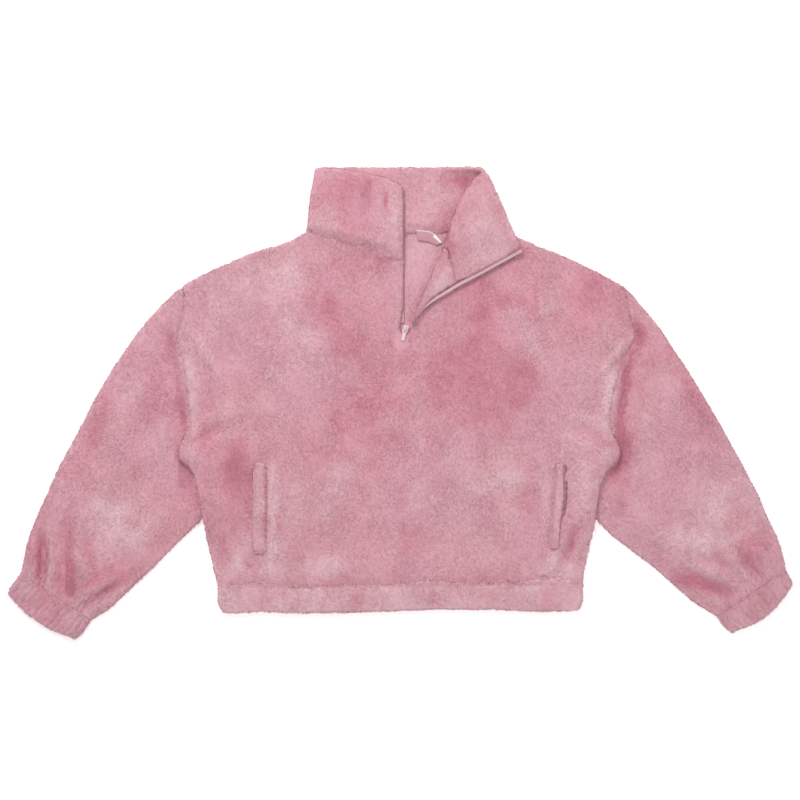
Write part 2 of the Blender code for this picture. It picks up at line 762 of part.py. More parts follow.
def ring(outer, inner, wall, top_stops, low_stops, bow, top_mid, armhole=None):
    """Middle of a flat tube's wall at one section, as points and their outward directions."""
    outer, inner = Vector(outer), Vector(inner)
    reach = (wall + LEAST_AIR) / 2
    low = wall / 2
    across = (inner - outer).normalized()
    start = outer + across * (reach + wall / 2)
    end = inner - across * (reach + wall / 2)
    ahead = Vector((across.y, -across.x)) * (1 if across.x > 0 else -1)
    up = Vector((0, 0, 1))
    side = Vector((across.x, across.y, 0))

    def plan(t):
        return start.lerp(end, t) + ahead * bow * 4 * t * (1 - t)

    points = []
    for t in top_stops:
        point = plan(t)
        points.append((Vector((point.x, point.y, top_mid(point.x, point.y, t))), up))
    for k in range(1, 4):
        heading = math.pi * k / 4
        out = side * math.sin(heading) + up * math.cos(heading)
        point = plan(1.0)
        points.append((Vector((point.x, point.y, low + reach)) + out * reach, out))
    for t in reversed(low_stops):
        point = plan(t)
        points.append((Vector((point.x, point.y, low)), -up))
    for k in range(1, 4):
        heading = math.pi * k / 4
        out = -side * math.sin(heading) - up * math.cos(heading)
        point = plan(0.0)
        points.append((Vector((point.x, point.y, low + reach)) + out * reach, out))
    if armhole:
        for point, out in points:
            point.x += armhole(point.y)
    return points


def tube_object(name, outer_rings, inner_rings, collection):
    """A flat tube between the rings of its outer side and those of its inner side."""
    mesh = grid_mesh(name, [outer_rings + inner_rings[::-1] + outer_rings[:1]], closed=True)
    bm = bmesh.new()
    bm.from_mesh(mesh)
    bmesh.ops.recalc_face_normals(bm, faces=bm.faces)
    bm.to_mesh(mesh)
    bm.free()
    return new_object(name, mesh, collection, ROSE_PLUSH)


def make_sleeve(name, table, folds, column, collection):
    way = -1 if column == 1 else 1

    def top_mid(x, y, t):
        air = SLEEVE_AIR + fold_height(folds, x, y)
        air = mix(LEAST_AIR, air, ease(min(t, 1 - t) / 0.12))
        if y < -0.040:
            covered = ease((0.014 - way * (x - body_edge_x(y, column))) / 0.012)
            air = mix(air, LEAST_AIR, covered)
        air = min(max(air, LEAST_AIR), MOST_AIR)
        return CLOTH_WALL * 1.5 + air

    outer_y, inner_y = table[0][1], table[0][3]
    start_y, end_y = outer_y - SLEEVE_FOLD, inner_y + SLEEVE_FOLD
    top_x = LEFT_TOPS[0] if column == 1 else RIGHT_TOPS[-1]
    heights = [body_row_y(top_x, share, 1) for share in BACK_SHARES]
    kept = [(start_y - y) / (start_y - end_y) for y in heights if end_y < y < start_y]
    shares = stops(SLEEVE_COLUMNS, kept)

    outer_rings, inner_rings = [], []
    for index, (outer_x, outer_y, inner_x, inner_y) in enumerate(table):
        share = max(0.0, 1 - index / ARMHOLE_RINGS)

        def armhole(y):
            t = (outer_y - y) / (outer_y - inner_y)
            straight = mix(table[0][0], table[0][2], t)
            y_first = mix(table[0][1], table[0][3], t)
            gap = mix(ARMHOLE_GAP, FOLD_GAP, ease((abs(t - 0.5) - 0.40) / 0.07))
            follows = share * (1 - ease((t - ARMHOLE_FOLLOWED) / ARMPIT_LENGTH)) if index else 1.0
            return follows * (body_edge_x(y_first, column) + way * gap - straight)

        bow = SLEEVE_BOW * math.sin(math.pi * min(index / SLEEVE_BOWED_RINGS, 1))
        points = ring((outer_x, outer_y), (inner_x, inner_y), CLOTH_WALL, shares, shares, bow,
                      top_mid, armhole if share else None)
        outer_rings.append([point + out * CLOTH_WALL / 2 for point, out in points])
        inner_rings.append([point - out * CLOTH_WALL / 2 for point, out in points])
    return tube_object(name, outer_rings, inner_rings, collection)


def gathered_tube(name, sections, gathers, collection):
    """A casing with gathers raised in its outer points over a plain inside."""
    outer_rings, inner_rings = [], []
    for points, top_count, swell in sections:
        outer_ring, inner_ring = [], []
        for index, (point, out) in enumerate(points):
            wave = 0.0
            if 0 < index < top_count:
                phase = 2 * math.pi * gathers * index / top_count
                uneven = 1 + 0.35 * math.sin(2.3 * index / 4 + 1.0)
                wave = GATHER_HEIGHT * (0.35 + 0.65 * swell) * uneven * math.cos(phase)
            outer_ring.append(point + out * (CASING_WALL / 2 + wave))
            inner_ring.append(point - out * CASING_WALL / 2)
        outer_rings.append(outer_ring)
        inner_rings.append(inner_ring)
    return tube_object(name, outer_rings, inner_rings, collection)


def make_cuff(name, table, collection):
    sections = []
    top_count = GATHERS_ON_CUFF * 4
    for outer_x, outer_y, inner_x, inner_y, bow, swell in table:

        def top_mid(x, y, t):
            edge = ease(min(t, 1 - t) / 0.10)
            return CASING_WALL * 1.5 + LEAST_AIR + 0.0016 * edge * (0.4 + 0.6 * swell)

        points = ring((outer_x, outer_y), (inner_x, inner_y), CASING_WALL, stops(top_count),
                      stops(12), bow, top_mid)
        sections.append((points, top_count, swell))
    return gathered_tube(name, sections, GATHERS_ON_CUFF, collection)


def make_hem_band(collection):
    sections = []
    top_count = GATHERS_ON_HEM * 4
    kept = [(x - HEM_LEFT_X) / (HEM_RIGHT_X - HEM_LEFT_X) for x, y in HEM_LINE]
    for share, left_x, right_x, swell in HEM_ROWS:

        def top_mid(x, y, t):
            edge = ease(min(t, 1 - t) / 0.05)
            return CASING_WALL * 1.5 + LEAST_AIR + 0.0014 * edge * (0.4 + 0.6 * swell)

        points = []
        for point, out in ring((left_x, 0.0), (right_x, 0.0), CASING_WALL,
                               stops(top_count, kept), stops(HEM_COLUMNS, kept), 0.0, top_mid):
            high = read(HEM_LINE, 1, point.x) - SEAM_GAP / 2
            point.y = mix(high, read(HEM_EDGE, 1, point.x), share)
            points.append((point, out))
        sections.append((points, top_count, swell))
    return gathered_tube("hem_band", sections, GATHERS_ON_HEM, collection)


# What is sewn on


def surface_of(obj):
    bpy.context.view_layer.update()
    return BVHTree.FromObject(obj, bpy.context.evaluated_depsgraph_get())


def height_on(tree, x, y):
    """Height of a piece's upper face under a point, or of what is next to it."""
    hit = tree.ray_cast(Vector((x, y, 1.0)), Vector((0, 0, -1)))[0]
    return hit.z if hit else tree.find_nearest(Vector((x, y, 0.02)))[0].z


def make_welt(name, table, panel, collection):
    """A folded strip on the front, from the front's own surface moved out."""
    tree = surface_of(panel)
    table = table[::-1]
    rows = []
    for k in range(13):
        y = mix(table[-1][0], table[0][0], k / 12)
        row = []
        for j in range(5):
            x = mix(read(table, 1, y), read(table, 2, y), j / 4)
            crown = 0.0007 * math.sin(math.pi * j / 4)
            row.append((x, y, height_on(tree, x, y) + 0.0006 + WELT_WALL / 2 + crown))
        rows.append(row)
    return cloth_object(name, [rows], WELT_WALL, collection, ROSE_PLUSH)


def make_left_tape(collection):
    rows = []
    for k in range(25):
        y = mix(LEFT_TAPE_LOW_Y, LEFT_TAPE_TOP_Y, k / 24)
        row = []
        for x in (-0.0030, 0.0018, 0.0066):
            row.append((x, y, neck_floor(y, 0.219, 0.013) + 0.0004 + TAPE_WALL / 2))
        rows.append(row)
    return cloth_object("zip_tape_left", [rows], TAPE_WALL, collection, TAPE_WEAVE)


def make_right_tape(front_right, collar_rows, collection):
    """A strip that carries on past the cloth's free edge, from the slider to the top stop."""
    ends = [(Vector(row[1]), Vector(row[0])) for row in front_right[-len(FRONT_TURN):]]
    first = [ends[1][i].lerp(ends[2][i], RIGHT_TAPE_START) for i in range(2)]
    on_front = [(*pair, TAPE_OFF_FRONT) for pair in [first] + ends[2:-3]]
    on_front += [(*pair, TAPE_OFF_COLLAR) for pair in ends[-3:]]
    on_collar = [(Vector(row[-2]), Vector(row[-1]), TAPE_OFF_COLLAR) for row in collar_rows]
    rows = []
    for before, edge, nearest in on_front + on_collar:
        way = (edge - before).normalized()
        rows.append([edge + way * reach for reach in (nearest, TAPE_SHOWN / 2, TAPE_SHOWN)])
    return cloth_object("zip_tape_right", [rows], TAPE_WALL, collection, TAPE_WEAVE)


def make_label(collection):
    rows = []
    for k in range(4):
        y = mix(LABEL_TOP_Y, LABEL_LOW_Y, k / 3)
        row = []
        for j in range(9):
            x = mix(LABEL_LEFT_X, LABEL_RIGHT_X, j / 8)
            row.append((x, y, CLOTH_WALL + 0.0004 + LABEL_WALL / 2 + 0.0006 * (k / 3) ** 2))
        rows.append(row)
    return cloth_object("neck_label", [rows], LABEL_WALL, collection, SATIN_WHITE)


# Slider and pull, modelled upright at the origin and then put in place


def slider_place():
    return Matrix.Translation((CENTRE_X, SLIDER_Y, SLIDER_BASE_Z)) @ Matrix.Rotation(
        SLIDER_TURN, 4, "Z"
    )


def box_part(name, size, centre, bevel, collection):
    bm = bmesh.new()
    bmesh.ops.create_cube(bm, size=1.0)
    bmesh.ops.scale(bm, vec=size, verts=bm.verts)
    bmesh.ops.translate(bm, vec=centre, verts=bm.verts)
    if bevel:
        bmesh.ops.bevel(bm, geom=bm.edges[:], offset=bevel, segments=2, affect="EDGES")
    mesh = bpy.data.meshes.new(name)
    bm.to_mesh(mesh)
    bm.free()
    obj = bpy.data.objects.new(name, mesh)
    collection.objects.link(obj)
    return obj


def join_by_boolean(obj, helper, operation):
    boolean = obj.modifiers.new(helper.name, "BOOLEAN")
    boolean.operation = operation
    boolean.object = helper
    helper.hide_render = True
    helper.display_type = "WIRE"


def make_slider(collection, cutters):
    """Two plates on a neck, with a bridge along the top plate for the pull."""
    plate, gap, length = 0.0012, 0.0020, 0.0114
    top_z = 2 * plate + gap
    low = box_part("slider_low", (0.0070, length, plate), (0, 0, plate / 2), 0.0004, cutters)
    top = box_part("zip_slider", (0.0076, length, plate), (0, 0, top_z - plate / 2), 0.0004,
                   collection)
    neck = box_part("slider_neck", (0.0024, 0.0050, top_z - 0.0004), (0, 0.0030, top_z / 2),
                    0.0, cutters)
    bridge = box_part("slider_bridge", (0.0018, 0.0084, 0.0032), (0, 0, top_z + 0.0011),
                      0.0005, cutters)
    eye = box_part("slider_eye", (0.0040, 0.0060, 0.0020), (0, 0, top_z + 0.0009), 0.0, cutters)
    join_by_boolean(bridge, eye, "DIFFERENCE")
    for helper in (neck, low, bridge):
        join_by_boolean(top, helper, "UNION")
    for obj in (top, low, neck, bridge, eye):
        obj.matrix_world = slider_place()
    top.data.materials.append(make_material("zip_slider", PALE_METAL, 0.6))
    return top_z


def make_pull(top_z, collection, cutters):
    """Crossbar under the bridge, two arms and a tab that points down the front."""
    hinge = Vector((0, 0, top_z + HINGE_RISE))
    bar = 0.0005
    arm_y = -0.0049
    tab = box_part("zip_pull", (0.0050, PULL_LENGTH + arm_y, 2 * bar),
                   (0, (arm_y - PULL_LENGTH) / 2, 0), 0.0003, collection)
    for side in (-1, 1):
        arm = box_part("pull_arm", (2 * bar, 0.0056, 2 * bar), (side * 0.0019, -0.0025, 0),
                       0.0, cutters)
        join_by_boolean(tab, arm, "UNION")
        arm.matrix_world = slider_place() @ Matrix.Translation(hinge)
    bpy.ops.mesh.primitive_cylinder_add(vertices=12, radius=bar, depth=0.0048,
                                        rotation=(0, math.pi / 2, 0))
    crossbar = bpy.context.object
    crossbar.name = "pull_crossbar"
    for owner in list(crossbar.users_collection):
        owner.objects.unlink(crossbar)
    cutters.objects.link(crossbar)
    join_by_boolean(tab, crossbar, "UNION")
    crossbar.matrix_world = (
        slider_place() @ Matrix.Translation(hinge) @ Matrix.Rotation(math.pi / 2, 4, "Y")
    )
    tab.matrix_world = slider_place() @ Matrix.Translation(hinge)
    tab.data.materials.append(make_material("zip_pull", PALE_METAL, 0.6))
    return tab


def build():
    fleece, cutters = clear_scene()
    make_back(fleece)
    front, front_right = make_front(fleece)
    collar, collar_rows = make_collar(fleece)
    make_sleeve("sleeve_left", SLEEVE_LEFT, LEFT_FOLDS, 1, fleece)
    make_sleeve("sleeve_right", SLEEVE_RIGHT, RIGHT_FOLDS, 2, fleece)
    make_cuff("cuff_left", CUFF_LEFT, fleece)
    make_cuff("cuff_right", CUFF_RIGHT, fleece)
    make_hem_band(fleece)
    make_welt("pocket_welt_left", WELT_LEFT, front, fleece)
    make_welt("pocket_welt_right", WELT_RIGHT, front, fleece)
    make_left_tape(fleece)
    make_right_tape(front_right, collar_rows, fleece)
    make_label(fleece)
    top_z = make_slider(fleece, cutters)
    make_pull(top_z, fleece, cutters)


build()
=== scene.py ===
import math

import bmesh
import bpy
import numpy as np
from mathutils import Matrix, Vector
from mathutils.bvhtree import BVHTree


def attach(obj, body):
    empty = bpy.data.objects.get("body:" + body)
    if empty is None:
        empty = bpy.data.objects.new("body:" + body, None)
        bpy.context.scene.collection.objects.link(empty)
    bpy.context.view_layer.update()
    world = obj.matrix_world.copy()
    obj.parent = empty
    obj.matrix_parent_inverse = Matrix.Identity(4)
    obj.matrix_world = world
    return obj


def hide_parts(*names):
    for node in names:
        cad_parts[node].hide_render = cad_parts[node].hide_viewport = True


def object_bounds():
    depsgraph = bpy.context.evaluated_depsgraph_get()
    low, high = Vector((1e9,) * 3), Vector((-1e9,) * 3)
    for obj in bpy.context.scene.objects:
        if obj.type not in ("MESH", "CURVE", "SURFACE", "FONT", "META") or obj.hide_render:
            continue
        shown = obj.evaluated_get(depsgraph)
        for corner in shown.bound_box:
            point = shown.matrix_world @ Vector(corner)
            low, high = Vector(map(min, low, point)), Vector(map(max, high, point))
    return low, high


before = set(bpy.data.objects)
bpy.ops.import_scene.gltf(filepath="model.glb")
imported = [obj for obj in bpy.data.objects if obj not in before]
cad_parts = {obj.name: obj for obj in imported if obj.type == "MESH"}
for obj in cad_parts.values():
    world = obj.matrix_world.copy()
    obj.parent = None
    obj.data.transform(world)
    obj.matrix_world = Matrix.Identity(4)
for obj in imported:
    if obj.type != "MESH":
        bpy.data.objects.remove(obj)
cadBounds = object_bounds()
print("frame loaded:", len(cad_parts), "solids")

scene = bpy.context.scene
scene.view_settings.view_transform = "Standard"


# ---- small helpers

def pickOnly(thing):
    bpy.ops.object.select_all(action="DESELECT")
    thing.select_set(True)
    bpy.context.view_layer.objects.active = thing


def applyAll(thing):
    pickOnly(thing)
    for modifier in list(thing.modifiers):
        bpy.ops.object.modifier_apply(modifier=modifier.name)


def easeStep(t):
    t = np.clip(t, 0.0, 1.0)
    return t * t * (3 - 2 * t)


def blend(a, b, t):
    return a + (b - a) * t


def softNoise(x, y, size, seed):
    grid = np.random.default_rng(seed).uniform(-1, 1, (128, 128))
    u, v = x / size + 60.0, y / size + 60.0
    i, j = np.floor(u).astype(int), np.floor(v).astype(int)
    s, t = easeStep(u - i), easeStep(v - j)
    low = blend(grid[i % 128, j % 128], grid[(i + 1) % 128, j % 128], s)
    high = blend(grid[i % 128, (j + 1) % 128], grid[(i + 1) % 128, (j + 1) % 128], s)
    return blend(low, high, t)


def newThing(name, mesh):
    thing = bpy.data.objects.new(name, mesh)
    scene.collection.objects.link(thing)
    return thing


def meshFromArrays(name, points, faces, tone=None):
    mesh = bpy.data.meshes.new(name)
    sides = faces.shape[1]
    mesh.vertices.add(len(points))
    mesh.vertices.foreach_set("co", points.astype(np.float32).ravel())
    mesh.loops.add(faces.size)
    mesh.loops.foreach_set("vertex_index", faces.astype(np.int32).ravel())
    mesh.polygons.add(len(faces))
    mesh.polygons.foreach_set("loop_start", np.arange(0, faces.size, sides, dtype=np.int32))
    mesh.update(calc_edges=True)
    if tone is not None:
        mesh.attributes.new("pileTone", "FLOAT", "POINT").data.foreach_set(
            "value", tone.astype(np.float32))
    return newThing(name, mesh)


def pointsOf(mesh):
    points = np.empty(len(mesh.vertices) * 3, np.float32)
    mesh.vertices.foreach_get("co", points)
    return points.reshape(-1, 3).astype(float)


def normalsOf(mesh):
    normals = np.empty(len(mesh.vertices) * 3, np.float32)
    mesh.vertex_normals.foreach_get("vector", normals)
    return normals.reshape(-1, 3).astype(float)


def trianglesOf(mesh):
    mesh.calc_loop_triangles()
    faces = np.empty(len(mesh.loop_triangles) * 3, np.int32)
    mesh.loop_triangles.foreach_get("vertices", faces)
    return faces.reshape(-1, 3)


# ---- effects that several materials share

def newGroup(name, inputs, outputs):
    group = bpy.data.node_groups.new(name, "ShaderNodeTree")
    for label, kind, value in inputs:
        socket = group.interface.new_socket(name=label, in_out="INPUT", socket_type=kind)
        if value is not None:
            socket.default_value = value
    for label, kind in outputs:
        group.interface.new_socket(name=label, in_out="OUTPUT", socket_type=kind)
    return group, group.nodes.new("NodeGroupInput"), group.nodes.new("NodeGroupOutput")


def noiseNode(tree, vector, size, detail, distortion=0.0):
    node = tree.nodes.new("ShaderNodeTexNoise")
    node.inputs["Scale"].default_value = size
    node.inputs["Detail"].default_value = detail
    node.inputs["Distortion"].default_value = distortion
    tree.links.new(vector, node.inputs["Vector"])
    return node.outputs["Fac"]


def rangeNode(tree, value, low, high, start=0.0, end=1.0):
    node = tree.nodes.new("ShaderNodeMapRange")
    node.interpolation_type = "SMOOTHSTEP"
    for label, number in (("From Min", low), ("From Max", high), ("To Min", start), ("To Max", end)):
        node.inputs[label].default_value = number
    tree.links.new(value, node.inputs["Value"])
    return node.outputs["Result"]


def mathNode(tree, kind, a, b):
    node = tree.nodes.new("ShaderNodeMath")
    node.operation = kind
    for socket, value in zip(node.inputs, (a, b)):
        if isinstance(value, (int, float)):
            socket.default_value = value
        else:
            tree.links.new(value, socket)
    return node.outputs[0]


def mixNode(tree, factor, a, b):
    node = tree.nodes.new("ShaderNodeMix")
    node.data_type = "RGBA"
    sockets = [s for s in node.inputs if s.type == "RGBA"]
    if isinstance(factor, (int, float)):
        node.inputs["Factor"].default_value = factor
    else:
        tree.links.new(factor, node.inputs["Factor"])
    for socket, value in zip(sockets, (a, b)):
        if isinstance(value, tuple):
            socket.default_value = (*value, 1.0)
        else:
            tree.links.new(value, socket)
    return [s for s in node.outputs if s.type == "RGBA"][0]


plushLook = {
    "pale": (0.720, 0.510, 0.548),
    "middle": (0.622, 0.345, 0.393),
    "full": (0.594, 0.262, 0.318),
    "deep": (0.480, 0.170, 0.225),
    "lilac": (0.605, 0.352, 0.430),
    "patchSize": 5.5,
    "mottleSize": 40.0,
    "grainSize": 560.0,
    "patchShare": 0.20,
    "mottleShare": 0.13,
    "grainShare": 0.12,
    "tone": 0.310,
    # strength of the painted glow that lifts the pile's shadows
    "shadowGlow": 0.125,
}


def makePlushGroup():
    # brushed pile: the tone that comes in, how the nap lies with painted shade and painted highlight laid
    # in, sets the colour, and noise breaks it up at three sizes
    tree, start, end = newGroup(
        "brushedPile",
        [("Place", "NodeSocketVector", None), ("ToneWithPaintedLight", "NodeSocketFloat", 0.0)],
        [("Color", "NodeSocketColor"), ("Height", "NodeSocketFloat")])
    place = start.outputs["Place"]
    patch = rangeNode(tree, noiseNode(tree, place, plushLook["patchSize"], 2.0, 0.4), 0.25, 0.75)
    mottle = rangeNode(tree, noiseNode(tree, place, plushLook["mottleSize"], 3.0, 0.3), 0.25, 0.75)
    grain = noiseNode(tree, place, plushLook["grainSize"], 2.0)
    tone = mathNode(tree, "ADD", mathNode(tree, "MULTIPLY", patch, plushLook["patchShare"]),
                    mathNode(tree, "MULTIPLY", mottle, plushLook["mottleShare"]))
    tone = mathNode(tree, "ADD", tone, mathNode(tree, "MULTIPLY", grain, plushLook["grainShare"]))
    tone = mathNode(tree, "ADD", tone, plushLook["tone"])
    tone = mathNode(tree, "ADD", tone, start.outputs["ToneWithPaintedLight"])
    low = mixNode(tree, rangeNode(tree, tone, 0.00, 0.36), plushLook["deep"], plushLook["full"])
    middle = mixNode(tree, rangeNode(tree, tone, 0.26, 0.62), low, plushLook["middle"])
    full = mixNode(tree, rangeNode(tree, tone, 0.52, 1.02), middle, plushLook["pale"])
    cool = noiseNode(tree, place, plushLook["patchSize"] * 1.3, 1.0, 0.5)
    cool = mathNode(tree, "MULTIPLY", rangeNode(tree, cool, 0.45, 0.65), 0.35)
    tree.links.new(mixNode(tree, cool, full, plushLook["lilac"]), end.inputs["Color"])
    height = mathNode(tree, "ADD", mathNode(tree, "MULTIPLY", mottle, 0.6), grain)
    tree.links.new(height, end.inputs["Height"])
    return tree


plushGroup = makePlushGroup()


def newMaterial(name, roughness):
    material = bpy.data.materials.new(name)
    material.use_nodes = True
    shader = material.node_tree.nodes["Principled BSDF"]
    shader.inputs["Roughness"].default_value = roughness
    return material, material.node_tree, shader


def placeOf(tree):
    return tree.nodes.new("ShaderNodeTexCoord").outputs["Object"]


def bumpTo(tree, shader, height, strength, distance):
    bump = tree.nodes.new("ShaderNodeBump")
    bump.inputs["Strength"].default_value = strength
    bump.inputs["Distance"].default_value = distance
    tree.links.new(height, bump.inputs["Height"])
    tree.links.new(bump.outputs["Normal"], shader.inputs["Normal"])


def makePlush(name, sheen):
    material, tree, shader = newMaterial(name, 0.95)
    group = tree.nodes.new("ShaderNodeGroup")
    group.node_tree = plushGroup
    tree.links.new(placeOf(tree), group.inputs["Place"])
    # the tone attribute brings the nap with its painted shade and highlight
    nap = tree.nodes.new("ShaderNodeAttribute")
    nap.attribute_name = "pileTone"
    tree.links.new(nap.outputs["Fac"], group.inputs["ToneWithPaintedLight"])
    tree.links.new(group.outputs["Color"], shader.inputs["Base Color"])
    bumpTo(tree, shader, group.outputs["Height"], 0.3, 0.0008)
    shader.inputs["Sheen Weight"].default_value = sheen
    shader.inputs["Sheen Roughness"].default_value = 0.5
    shader.inputs["Sheen Tint"].default_value = (1.0, 0.90, 0.92, 1.0)
    # a rosy glow is painted in to lift the pile's shadows, standing in for the light that scatters inside a
    # deep pile, so its shadows stay rosy
    shader.inputs["Emission Color"].default_value = (0.62, 0.28, 0.34, 1.0)
    shader.inputs["Emission Strength"].default_value = plushLook["shadowGlow"]
    shader.inputs["Specular IOR Level"].default_value = 0.2
    return material


def alongOf(tree):
    # the strip's own map: metres down its rows, then the share across a row
    uv = tree.nodes.new("ShaderNodeUVMap")
    uv.uv_map = "along"
    split = tree.nodes.new("ShaderNodeSeparateXYZ")
    tree.links.new(uv.outputs["UV"], split.inputs["Vector"])
    return split.outputs["X"], split.outputs["Y"]


def makeTapeWeave():
    # the band along the zip: fine cross ribs, and two lines that run along it
    material, tree, shader = newMaterial("zipTapeWeave", 0.62)
    along, across = alongOf(tree)
    rib = mathNode(tree, "SINE", mathNode(tree, "MULTIPLY", along, 2 * math.pi * 230.0), 0.0)
    rib = rangeNode(tree, rib, -1.0, 1.0)
    firstLine = mathNode(tree, "ABSOLUTE", mathNode(tree, "SUBTRACT", across, 0.30), 0.0)
    secondLine = mathNode(tree, "ABSOLUTE", mathNode(tree, "SUBTRACT", across, 0.68), 0.0)
    lines = mathNode(tree, "MAXIMUM", rangeNode(tree, firstLine, 0.02, 0.07, 1.0, 0.0),
                     rangeNode(tree, secondLine, 0.02, 0.07, 1.0, 0.0))
    soft = noiseNode(tree, placeOf(tree), 90.0, 3.0)
    base = mixNode(tree, rib, (0.63, 0.37, 0.42), (0.72, 0.45, 0.50))
    base = mixNode(tree, mathNode(tree, "MULTIPLY", soft, 0.45), base, (0.57, 0.32, 0.37))
    base = mixNode(tree, mathNode(tree, "MULTIPLY", lines, 0.75), base, (0.82, 0.60, 0.64))
    tree.links.new(base, shader.inputs["Base Color"])
    bumpTo(tree, shader, mathNode(tree, "ADD", rib, mathNode(tree, "MULTIPLY", lines, 2.0)), 0.5, 0.0003)
    shader.inputs["Sheen Weight"].default_value = 0.1
    return material


def makeCoil():
    # painted shade: the coil is coloured a deep rose, darker than the pink tape, for the shade at the band's
    # edge
    material, tree, shader = newMaterial("shadedCoil", 0.38)
    soft = noiseNode(tree, placeOf(tree), 160.0, 2.0)
    base = mixNode(tree, rangeNode(tree, soft, 0.35, 0.65), (0.30, 0.13, 0.17), (0.52, 0.28, 0.34))
    tree.links.new(base, shader.inputs["Base Color"])
    bumpTo(tree, shader, soft, 0.2, 0.0002)
    return material


def makeLacquer():
    # pale lacquer on cast metal: it is rubbed through a little at the edges
    material, tree, shader = newMaterial("paleLacquer", 0.32)
    place = placeOf(tree)
    geometry = tree.nodes.new("ShaderNodeNewGeometry")
    edge = rangeNode(tree, geometry.outputs["Pointiness"], 0.53, 0.60)
    rough = noiseNode(tree, place, 900.0, 3.0)
    wear = mathNode(tree, "MULTIPLY", edge, rangeNode(tree, rough, 0.40, 0.65))
    base = mixNode(tree, rough, (0.78, 0.55, 0.60), (0.86, 0.66, 0.70))
    base = mixNode(tree, wear, base, (0.78, 0.74, 0.72))
    tree.links.new(base, shader.inputs["Base Color"])
    tree.links.new(wear, shader.inputs["Metallic"])
    tree.links.new(rangeNode(tree, rough, 0.3, 0.7, 0.26, 0.42), shader.inputs["Roughness"])
    bumpTo(tree, shader, rough, 0.15, 0.0002)
    shader.inputs["Coat Weight"].default_value = 0.3
    return material


def makeSatin():
    # pinkish satin, its deep tone partly painted shade; the paler folded top edge and the white curl at its
    # free end are painted highlight
    material, tree, shader = newMaterial("labelSatin", 0.55)
    down, across = alongOf(tree)
    threads = mathNode(tree, "SINE", mathNode(tree, "MULTIPLY", across, 260.0), 0.0)
    threads = rangeNode(tree, threads, -1.0, 1.0)
    soft = noiseNode(tree, placeOf(tree), 120.0, 2.0)
    base = mixNode(tree, soft, (0.50, 0.255, 0.300), (0.57, 0.310, 0.355))
    base = mixNode(tree, mathNode(tree, "MULTIPLY", threads, 0.2), base, (0.46, 0.24, 0.28))
    # painted highlight along the folded top edge
    edge = mathNode(tree, "MULTIPLY", rangeNode(tree, down, 0.0010, 0.0018, 1.0, 0.0), 0.7)
    base = mixNode(tree, edge, base, (0.88, 0.72, 0.75))
    # painted highlight on the curl at the free end
    curl = mathNode(tree, "MULTIPLY", rangeNode(tree, down, 0.0042, 0.0052, 1.0, 0.0),
                    rangeNode(tree, across, 0.50, 0.60))
    base = mixNode(tree, curl, base, (0.96, 0.92, 0.93))
    tree.links.new(base, shader.inputs["Base Color"])
    bumpTo(tree, shader, threads, 0.25, 0.0002)
    shader.inputs["Sheen Weight"].default_value = 0.2
    return material


def makeThread():
    material, tree, shader = newMaterial("sewingThread", 0.55)
    twist = noiseNode(tree, placeOf(tree), 1500.0, 2.0)
    base = mixNode(tree, twist, (0.62, 0.34, 0.40), (0.82, 0.58, 0.63))
    tree.links.new(base, shader.inputs["Base Color"])
    bumpTo(tree, shader, twist, 0.3, 0.0002)
    return material


fleeceSkin = makePlush("fleeceSkin", 0.2)
fleecePile = makePlush("fleecePile", 0.25)
zipTapeWeave = makeTapeWeave()
shadedCoil = makeCoil()
paleLacquer = makeLacquer()
labelSatin = makeSatin()
sewingThread = makeThread()
print("materials made")


# ---- the cloth shells, on the solids' own forms

